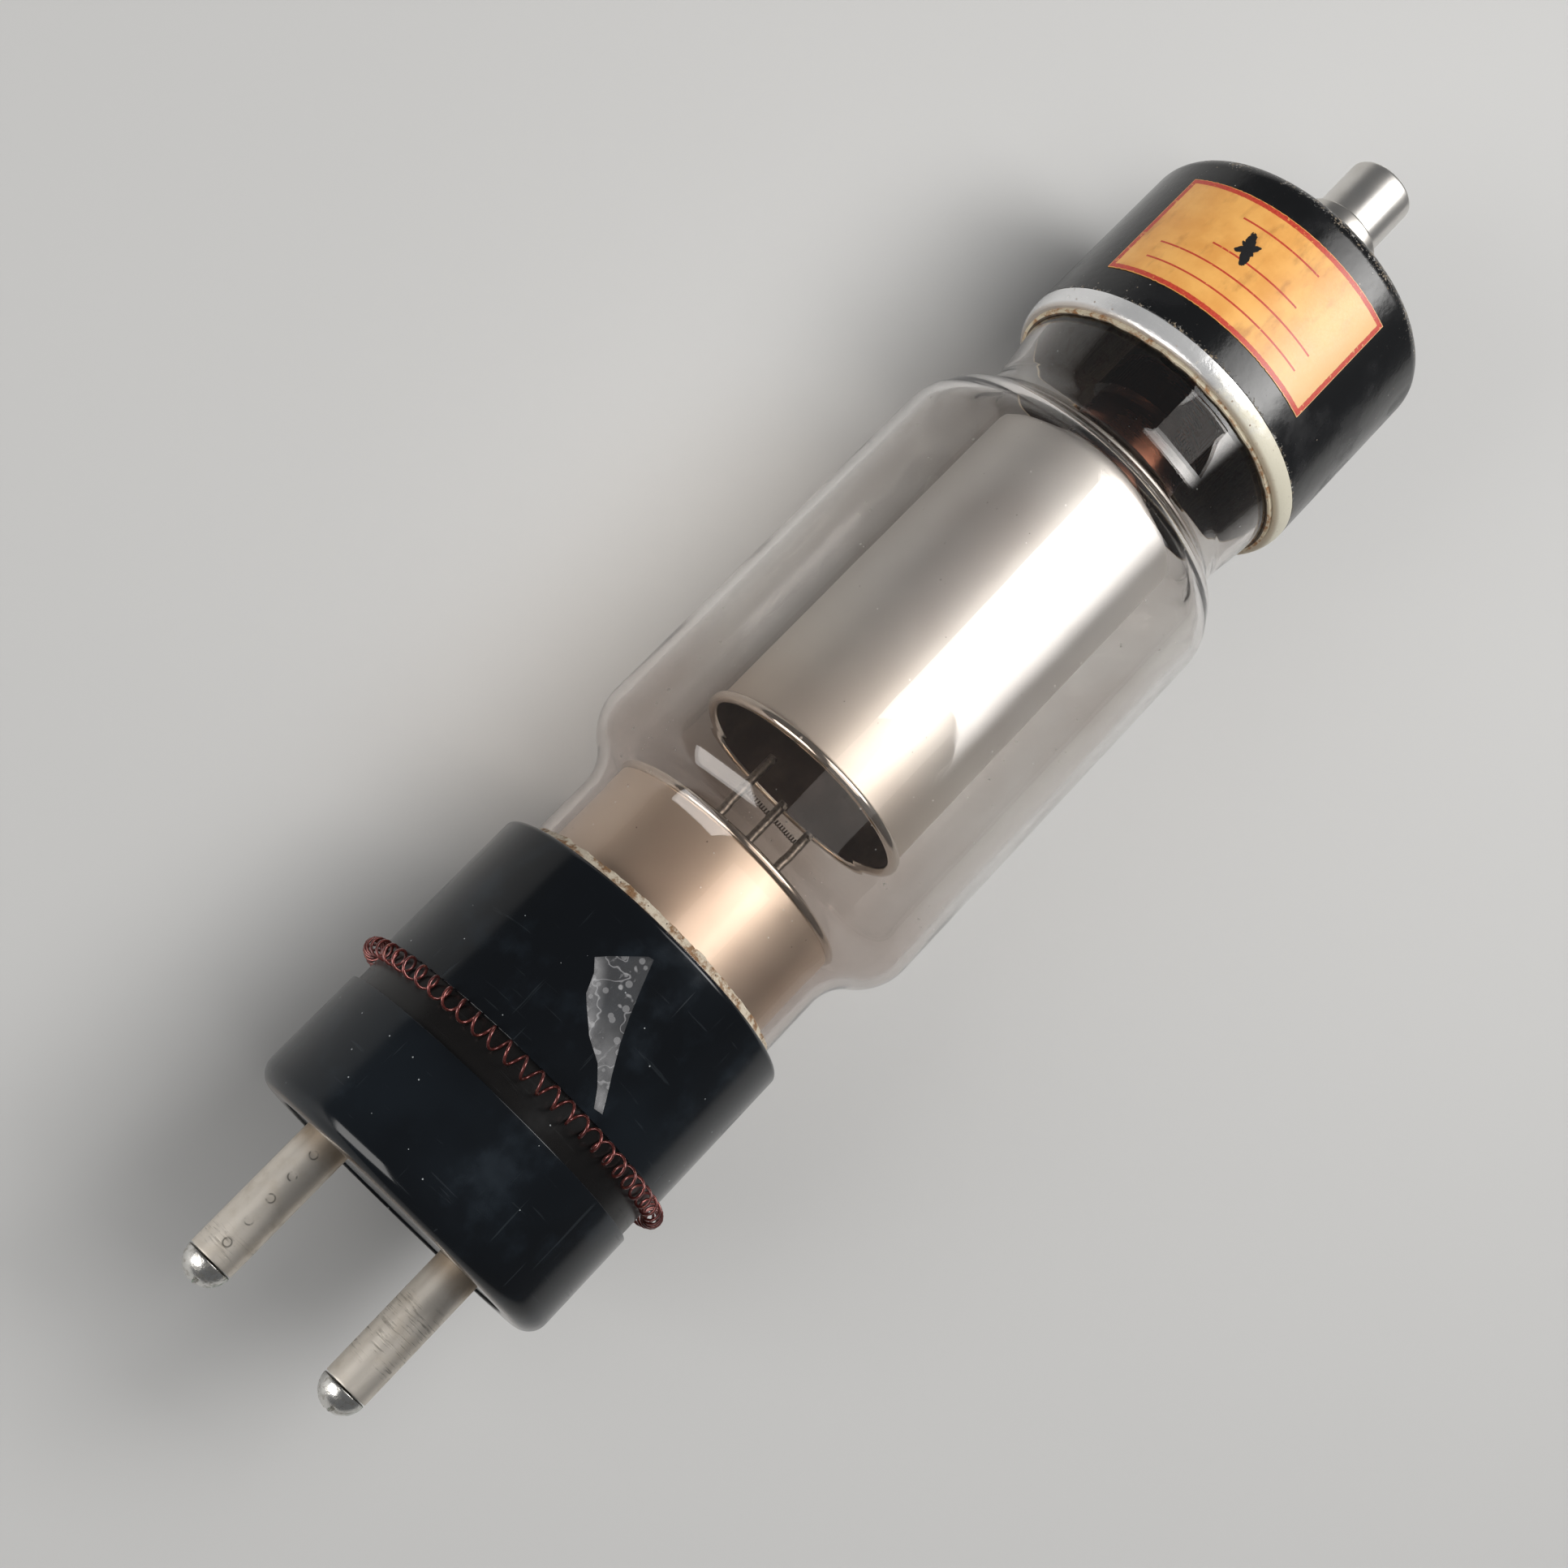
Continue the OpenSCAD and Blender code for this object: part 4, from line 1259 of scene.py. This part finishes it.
@dataclass
class Envelope:
    """Blown glass envelope with its two re-entrant stems."""

    wall: float = 1.6 * MM
    stem_wall: float = 1.4 * MM
    lower_shoulder: tuple[float, float] = (66.5 * MM, 80.5 * MM)
    upper_shoulder: tuple[float, float] = (150 * MM, 166 * MM)
    top_neck: float = 24.4 * MM
    fold_height: float = 0.22 * MM
    folds: float = 2.6

    def build(self) -> None:
        """Build and dress the glass."""
        clear = Glass("envelope_clear", smoke_from=104 * MM, smoke_to=70 * MM).build()
        stem = Glass("stem_clear", tint=(0.93, 0.955, 0.925), smoke=(0.80, 0.72, 0.62)).build()
        self.shell(clear)
        self.anode_stem(stem)
        dress(stem, "cathode_stem", "exhaust_tip")
        grey = Plain("seal_lead_grey", (0.34, 0.32, 0.30), (0.20, 0.17, 0.15), 1.0).build()
        dress(grey, "seal_lead_a", "seal_lead_b")

    def side(self, inward: float) -> Outline:
        """One face of the envelope's wall, from the base end to the cap end.

        Args:
            inward: How far it lies inside the outer face.

        Returns:
            The outline.
        """
        low, high = ends("glass_envelope")
        neck, bulb = reach("cathode_stem"), reach("glass_envelope")
        flare = reach("anode_stem")
        cap_end = ends("cap_cement")[0]
        (a0, a1), (b0, b1) = self.lower_shoulder, self.upper_shoulder
        line = Outline((low, neck - inward)).to(a0, neck - inward, 6)
        line.sweep((a0, neck), (a1, bulb), inward, 16).to(b0, bulb - inward, 20)
        top = Outline().sweep((b1, self.top_neck), (b0, bulb), inward, 22)
        line.back(top).to(cap_end, flare - inward, 10)
        return line.to(high, flare - inward, 4)

    def shell(self, material: bpy.types.Material) -> None:
        """Turn the envelope, with the folds that reheating left in its upper shoulder.

        Args:
            material: Finish of the glass.
        """
        line = self.side(0.0)
        line.back(self.side(self.wall))
        made = Piece("envelope_skin").turned(line, steps=192)
        b0, b1 = self.upper_shoulder
        for vert in made.mesh.verts:
            if b0 < vert.co.x < b1 + 2 * MM:
                share = (vert.co.x - b0) / (b1 - b0)
                angle = math.atan2(vert.co.y, vert.co.z)
                swell = math.sin(math.pi * min(share, 1)) ** 2
                wave = math.sin(share * math.tau * self.folds + 0.5 * math.sin(angle * 2)) * swell
                radial = Vector((0, vert.co.y, vert.co.z)).normalized()
                vert.co += radial * wave * self.fold_height
        made.finish(material, "envelope_glass", "glass_envelope", shading=Shading.EDGED)

    def anode_stem(self, material: bpy.types.Material) -> None:
        """Turn the flared tube that carries the anode.

        Args:
            material: Finish of the glass.
        """
        x0, x1 = ends("anode_stem")
        flare = reach("anode_stem")
        inner = flare - self.wall
        tube = reach("seal_cup") + self.stem_wall
        bend = inner - tube
        glass_end = x1 - self.stem_wall
        centre = glass_end - bend
        line = Outline((x0, tube - self.stem_wall)).to(x0, tube).to(centre, tube, 4)
        line.arc(centre, inner, bend, 270, 360, 16).to(glass_end, flare).to(x1, flare)
        line.arc(centre, inner, bend + self.stem_wall, 360, 270, 16)
        Piece("anode_stem_skin").turned(line, steps=96).finish(material, "stem_glass", "anode_stem")


@dataclass
class Cathode:
    """Shield, focusing disc, posts and filament at the lower end of the envelope."""

    sheet: float = 0.7 * MM

    def build(self) -> None:
        """Build and dress the cathode."""
        satin = Satin(
            "shield_satin", (0.88, 0.775, 0.655), (0.77, 0.67, 0.56), 0.38, 0.47,
            grain=0.2 * MM, blot=16 * MM, stained=0.35, radius=reach("cathode_shield"),
        ).build()
        bright = Satin(
            "bead_bright", (0.76, 0.70, 0.62), (0.58, 0.50, 0.41), 0.12, 0.22, Lay.AROUND, relief=0.002 * MM,
        ).build()
        self.shield(satin)
        self.bead("shield_rim", reach("cathode_shield") - self.sheet / 2, bright)
        dress(satin, "stem_collar", "shield_spider", "focusing_disc")
        ceramic = Plain("bushing_ceramic", (0.74, 0.70, 0.62), (0.56, 0.50, 0.42), 0.0, (0.45, 0.65))
        dress(ceramic.build(), "post_bushings")
        grey = Plain("post_grey", (0.40, 0.37, 0.33), (0.26, 0.235, 0.20), 1.0, (0.28, 0.5), 0.7 * MM)
        dress(grey.build(), "filament_post_a", "filament_post_b", "filament_post_mid")
        dull = Plain("filament_dull", (0.23, 0.21, 0.19), (0.12, 0.11, 0.10), 1.0, (0.35, 0.5), 0.5 * MM)
        dress(dull.build(), "filament")

    def shield(self, material: bpy.types.Material) -> None:
        """Turn the sheet-metal shield.

        Args:
            material: Finish of the shield.
        """
        low, high = ends("cathode_shield")
        r = reach("cathode_shield")
        inner = r - self.sheet
        line = Outline((low, inner)).to(low, r).to(high, r, 12).to(high, inner).to(low, inner, 12)
        made = Piece("cathode_shield_skin").turned(line, steps=160)
        made.finish(material, "shield_nickel", "cathode_shield")

    @staticmethod
    def bead(node: str, ring: float, material: bpy.types.Material) -> None:
        """Turn a rolled bead.

        Args:
            node: CAD node that it stands for.
            ring: Radius of the bead's middle line.
            material: Its finish.
        """
        small = reach(node) - ring
        line = Outline().arc(ends(node)[0] + small, ring, small, 0, 337.5, 15)
        made = Piece(node + "_skin").turned(line, steps=160)
        made.finish(material, "bead_nickel", node, shading=Shading.SMOOTH)


@dataclass
class Anode:
    """Deep nickel cup with its rolled rim, stud and copper seal."""

    sheet: float = 0.8 * MM
    corner: float = 3.2 * MM
    spigot: float = 3 * MM

    def build(self) -> None:
        """Build and dress the anode."""
        low, high = ends("anode_cup")
        r = reach("anode_cup")
        inner = r - self.sheet
        metal = AnodeMetal("anode_satin", inner + 0.1 * MM, low, high).build()
        line = Outline((low, inner)).to(low, r).to(high - self.corner, r, 24)
        line.arc(high - self.corner, r - self.corner, self.corner, 90, 0, 12).to(high, self.spigot, 6)
        line.to(high - self.sheet, self.spigot).to(high - self.sheet, r - self.corner, 4)
        line.arc(high - self.corner, r - self.corner, self.corner - self.sheet, 0, 90, 8).to(low, inner, 20)
        Piece("anode_cup_skin").turned(line, steps=192).finish(metal, "anode_nickel", "anode_cup")
        bright = Satin(
            "anode_bead_bright", (0.80, 0.76, 0.70), (0.62, 0.56, 0.49), 0.11, 0.2, Lay.AROUND,
            relief=0.002 * MM,
        ).build()
        bead = (ends("anode_rim")[1] - ends("anode_rim")[0]) / 2
        Cathode.bead("anode_rim", reach("anode_rim") - bead, bright)
        stud = Satin("stud_satin", (0.50, 0.47, 0.43), (0.34, 0.30, 0.26), lay=Lay.AROUND)
        dress(stud.build(), "anode_stud")
        self.seal()

    def seal(self) -> None:
        """Dress the copper cup that is sealed into the glass, and the lead behind it."""
        seal = Satin(
            "seal_copper", (0.15, 0.062, 0.038), (0.07, 0.032, 0.022), 0.2, 0.42, Lay.AROUND,
            radius=reach("seal_cup"),
        )
        dress(seal.build(), "seal_cup")
        lead = Plain("lead_copper", (0.55, 0.25, 0.13), (0.28, 0.11, 0.06), 1.0, (0.3, 0.5))
        dress(lead.build(), "anode_lead")


@dataclass
class Cap:
    """Japanned cap with its tinned rim, cement, terminal and label."""

    sheet: float = 0.8 * MM
    corner: float = 3.5 * MM
    slope: float = 26.0
    length: float = 32 * MM
    spigot: float = 4.4 * MM
    bevel: float = 0.15 * MM
    cement_lip: float = 0.8 * MM
    label_lift: float = 0.02 * MM
    label_thick: float = 0.13 * MM
    label_middle: float = math.radians(27.5)

    def build(self) -> None:
        """Build and dress the cap."""
        self.low, self.top = ends("cap_shell")
        self.radius = reach("cap_shell")
        self.shell()
        self.rim()
        self.cement()
        self.terminal()
        self.label()

    def shell(self) -> None:
        """Turn the drawn cap with its round edge and sloping top."""
        turn = 90 - self.slope
        shoulder = self.low + self.length
        r, c = self.radius, self.corner
        seat = reach("terminal_collar") + 1.2 * MM
        line = Outline((self.low, r - self.sheet)).to(self.low, r - self.bevel)
        line.to(self.low + self.bevel, r).to(shoulder, r, 16)
        line.arc(shoulder, r - c, c, 90, 90 - turn, 16).to(self.top, seat, 6).to(self.top, self.spigot)
        line.to(self.top - self.sheet, self.spigot).to(self.top - self.sheet, seat)
        line.arc(shoulder, r - c, c - self.sheet, 90 - turn, 90, 8)
        finish = Japan("cap_japan", r, self.low, shoulder).build()
        Piece("cap_shell_skin").turned(line, steps=192).finish(finish, "cap_japan", "cap_shell")

    def rim(self) -> None:
        """Turn the tinned ring under the cap, a little uneven."""
        low, high = ends("cap_rim")
        inner = reach("cap_cement") - self.cement_lip
        width, height = self.radius - inner, high - low
        line = Outline((high, inner)).to(low, inner)
        steps = 12
        for i in range(steps + 1):
            a = math.radians(-90 + 90 * i / steps)
            line.to(high + height * math.sin(a), self.radius - width * 0.7 * (1 - math.cos(a)))
        made = Piece("cap_rim_skin").turned(line, steps=256)
        for vert in made.mesh.verts:
            if vert.co.x < high - 0.3 * MM:
                vert.co.x += noise.noise(vert.co * 160) * 0.16 * MM
        made.finish(TinRing("rim_tin", low, high).build(), "rim_tin", "cap_rim")

    def cement(self) -> None:
        """Ring of cement that fills the cap's mouth around the glass."""
        low, high = ends("cap_cement")
        outer = reach("cap_cement")
        glass = reach("anode_stem")
        lip = outer - self.cement_lip
        line = Outline((low, glass)).to(low, lip).to(self.low, lip, 3).to(self.low, outer).to(high, outer, 4)
        line.to(high, glass).to(low, glass, 6)
        made = Piece("cap_cement_ring").turned(line, steps=256)
        for vert in made.mesh.verts:
            if vert.co.x < low + 0.1 * MM:
                vert.co.x += noise.noise(vert.co * 380) * 0.25 * MM
        finish = Cement("cap_cement", (0.62, 0.55, 0.41), (0.34, 0.17, 0.07), 0.56, glass + 0.3 * MM)
        made.finish(finish.build(), "cap_cement", "cap_cement")

    def terminal(self) -> None:
        """Turn the collar and the terminal's smooth post."""
        low, high = ends("terminal_collar")
        r = reach("terminal_collar")
        edge = 0.5 * MM
        line = Outline((low, self.spigot)).to(low, r).to(high - edge, r, 4)
        line.arc(high - edge, r - edge, edge, 90, 0, 5).to(high, self.spigot)
        finish = Satin(
            "collar_satin", (0.74, 0.71, 0.67), (0.58, 0.55, 0.50), 0.28, 0.40, Lay.AROUND, 0.2 * MM,
            radius=r,
        )
        made = Piece("terminal_collar_skin").turned(line, steps=96)
        made.finish(finish.build(), "terminal_nickel", "terminal_collar")
        low, tip = ends("anode_terminal")
        r, edge, bore = reach("anode_terminal"), 0.7 * MM, 1.2 * MM
        peen = low + 1.2 * MM
        line = Outline((low, bore)).to(low, self.spigot + bore)
        line.to(peen, self.spigot + bore).to(peen, self.spigot)
        line.to(high, self.spigot).to(high, r).to(tip - edge, r, 8).arc(tip - edge, r - edge, edge, 90, 0, 6)
        line.to(tip, 0.0, 3).to(high + 6 * MM, 0.0).to(high + 6 * MM, bore)
        finish = Satin(
            "terminal_satin", (0.80, 0.775, 0.74), (0.66, 0.63, 0.585), 0.30, 0.40, Lay.AROUND, 0.15 * MM,
            radius=r,
        )
        made = Piece("anode_terminal_skin").turned(line, steps=96)
        made.finish(finish.build(), "terminal_nickel", "anode_terminal")

    def label(self) -> None:
        """Cut the label flat with its UV map, bend it round the cap and give it its thickness."""
        low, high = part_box("rating_label")
        r = self.radius + self.label_lift
        start, end = (math.atan2(y, math.sqrt(self.radius**2 - y**2)) for y in (low.y, high.y))
        end = self.label_middle * 2 - start
        made = Piece("rating_label_paper")
        bmesh.ops.create_grid(made.mesh, x_segments=24, y_segments=96, size=0.5)
        layer = made.mesh.loops.layers.uv.new("label")
        width, height = (end - start) * r, high.x - low.x
        for face in made.mesh.faces:
            for loop in face.loops:
                loop[layer].uv = ((0.5 - loop.vert.co.y) * width, (loop.vert.co.x + 0.5) * height)
        for vert in made.mesh.verts:
            u, v = vert.co.x + 0.5, vert.co.y + 0.5
            fray = noise.noise(Vector((u * 60, v * 90, 3))) * 0.12 * MM
            edge = 1.0 if min(u, v, 1 - u, 1 - v) < 1e-4 else 0.0
            x = low.x + u * height + (fray * edge if 0.5 - abs(u - 0.5) < 1e-4 else 0.0)
            turn = start + (end - start) * v
            lift = 0.05 * MM * max(noise.noise(Vector((x * 120, turn * 4, 0))), 0)
            vert.co = (x, (r + lift) * math.sin(turn), (r + lift) * math.cos(turn))
        bmesh.ops.recalc_face_normals(made.mesh, faces=made.mesh.faces)
        if sum(f.normal.z for f in made.mesh.faces) < 0:
            bmesh.ops.reverse_faces(made.mesh, faces=made.mesh.faces)
        bmesh.ops.solidify(made.mesh, geom=made.mesh.faces[:], thickness=-self.label_thick)
        made.finish(LabelPaper("label_paper", width, height).build(), "label_paper", "rating_label")


@dataclass
class Studio:
    """Pale floor, soft lamps and the camera."""

    floor_size: float = 3.0
    target: Triple = (0.12, 0, 0)
    lens: float = 55.24
    fade: tuple[float, float] = (1.0, 0.22)
    soft_edge: float = 0.35
    camera_at: Triple = (-0.00893, 0.10719, 0.35387)
    right: Triple = (0.6746, -0.6357, 0.3752)
    down: Triple = (-0.6922, -0.7214, 0.0221)

    def build(self) -> None:
        """Build the stage around the valve."""
        self.floor()
        target = Vector(self.target)
        self.graded(self.softbox("key_softbox", target, (0.52, -0.20, 0.83), 0.75, (0.38, 0.74), 10.5))
        self.softbox("side_softbox", target, (-0.68, 0.66, 0.40), 0.85, (0.42, 0.58), 3.6)
        soft = self.softbox("top_fill", target, (0.0, -0.1, 1.0), 1.3, (0.9, 0.9), 4.2)
        soft.visible_glossy = False
        world = bpy.data.worlds.new("studio_air")
        world.use_nodes = True
        world.node_tree.nodes["Background"].inputs[0].default_value = (0.80, 0.82, 0.85, 1)
        world.node_tree.nodes["Background"].inputs[1].default_value = 0.16
        bpy.context.scene.world = world
        bpy.context.scene.view_settings.view_transform = "Standard"
        self.camera()

    def floor(self) -> None:
        """Lay a pale floor under the valve's lowest point."""
        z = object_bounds()[0].z
        mesh = bmesh.new()
        place = Matrix.Translation((0, 0, z))
        bmesh.ops.create_grid(mesh, x_segments=1, y_segments=1, size=self.floor_size / 2, matrix=place)
        data = bpy.data.meshes.new("floor")
        mesh.to_mesh(data)
        mesh.free()
        made = bpy.data.objects.new("floor", data)
        bpy.context.scene.collection.objects.link(made)
        s = Shade("floor_pale")
        tone = s.noise(0.4, 3.0)
        s.set(Base_Color=s.blend(tone, (0.50, 0.50, 0.495), (0.54, 0.54, 0.535)), Roughness=0.6)
        data.materials.append(s.material)
        made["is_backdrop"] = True

    def softbox(self, name: str, target: Vector, way: Triple, distance: float,
                size: tuple[float, float], power: float) -> bpy.types.Object:
        """Hang a rectangular lamp that faces the valve.

        Args:
            name: Name of the lamp.
            target: Point that it faces.
            way: Direction from the target to the lamp.
            distance: How far off it hangs.
            size: Width along the valve and height across it.
            power: Watts.

        Returns:
            The lamp's object.
        """
        lamp = bpy.data.lights.new(name, "AREA")
        lamp.shape = "RECTANGLE"
        lamp.size, lamp.size_y = size
        lamp.energy = power
        lamp.color = (1.0, 0.985, 0.965)
        made = bpy.data.objects.new(name, lamp)
        bpy.context.scene.collection.objects.link(made)
        outward = Vector(way).normalized()
        level = (Vector((1, 0, 0)) - outward * outward.x).normalized()
        turn = Matrix((level, outward.cross(level), outward)).transposed()
        made.matrix_world = Matrix.Translation(target + outward * distance) @ turn.to_4x4()
        return made

    def graded(self, panel: bpy.types.Object) -> None:
        """Let a lamp fade across its height, bright near the side away from +Y and soft at that edge.

        Args:
            panel: The lamp's object.
        """
        panel.data.use_nodes = True
        tree = panel.data.node_tree
        split = tree.nodes.new("ShaderNodeSeparateXYZ")
        fade = tree.nodes.new("ShaderNodeMapRange")
        fade.interpolation_type = "SMOOTHSTEP"
        for target, value in zip(fade.inputs[3:5], self.fade, strict=False):
            target.default_value = value
        tree.links.new(tree.nodes.new("ShaderNodeNewGeometry").outputs["Parametric"], split.inputs[0])
        tree.links.new(split.outputs[1], fade.inputs[0])
        rise = tree.nodes.new("ShaderNodeMapRange")
        rise.interpolation_type = "SMOOTHSTEP"
        rise.inputs["From Max"].default_value = self.soft_edge
        tree.links.new(split.outputs[1], rise.inputs[0])
        strength = tree.nodes.new("ShaderNodeMath")
        strength.operation = "MULTIPLY"
        tree.links.new(fade.outputs[0], strength.inputs[0])
        tree.links.new(rise.outputs[0], strength.inputs[1])
        tree.links.new(strength.outputs[0], tree.nodes["Emission"].inputs["Strength"])

    def camera(self) -> None:
        """Place the camera above the base end, looking down along the tube."""
        lens = bpy.data.cameras.new("camera")
        lens.lens, lens.sensor_width = self.lens, 36
        lens.clip_start, lens.clip_end = 0.01, 10
        made = bpy.data.objects.new("camera", lens)
        bpy.context.scene.collection.objects.link(made)
        right, up = Vector(self.right).normalized(), -Vector(self.down).normalized()
        turn = Matrix((right, up, right.cross(up))).transposed()
        made.matrix_world = Matrix.Translation(self.camera_at) @ turn.to_4x4()
        bpy.context.scene.camera = made


def main() -> None:
    """Build the studio and then the valve, from its base to its cap."""
    logging.basicConfig(level=logging.INFO, format="%(name)s %(message)s")
    for part in (Studio(), MouldedBase(), TapeScrap(), Envelope(), Cathode(), Anode(), Cap()):
        LOG.info("%s", type(part).__name__)
        part.build()


if __name__ == "__main__":
    main()
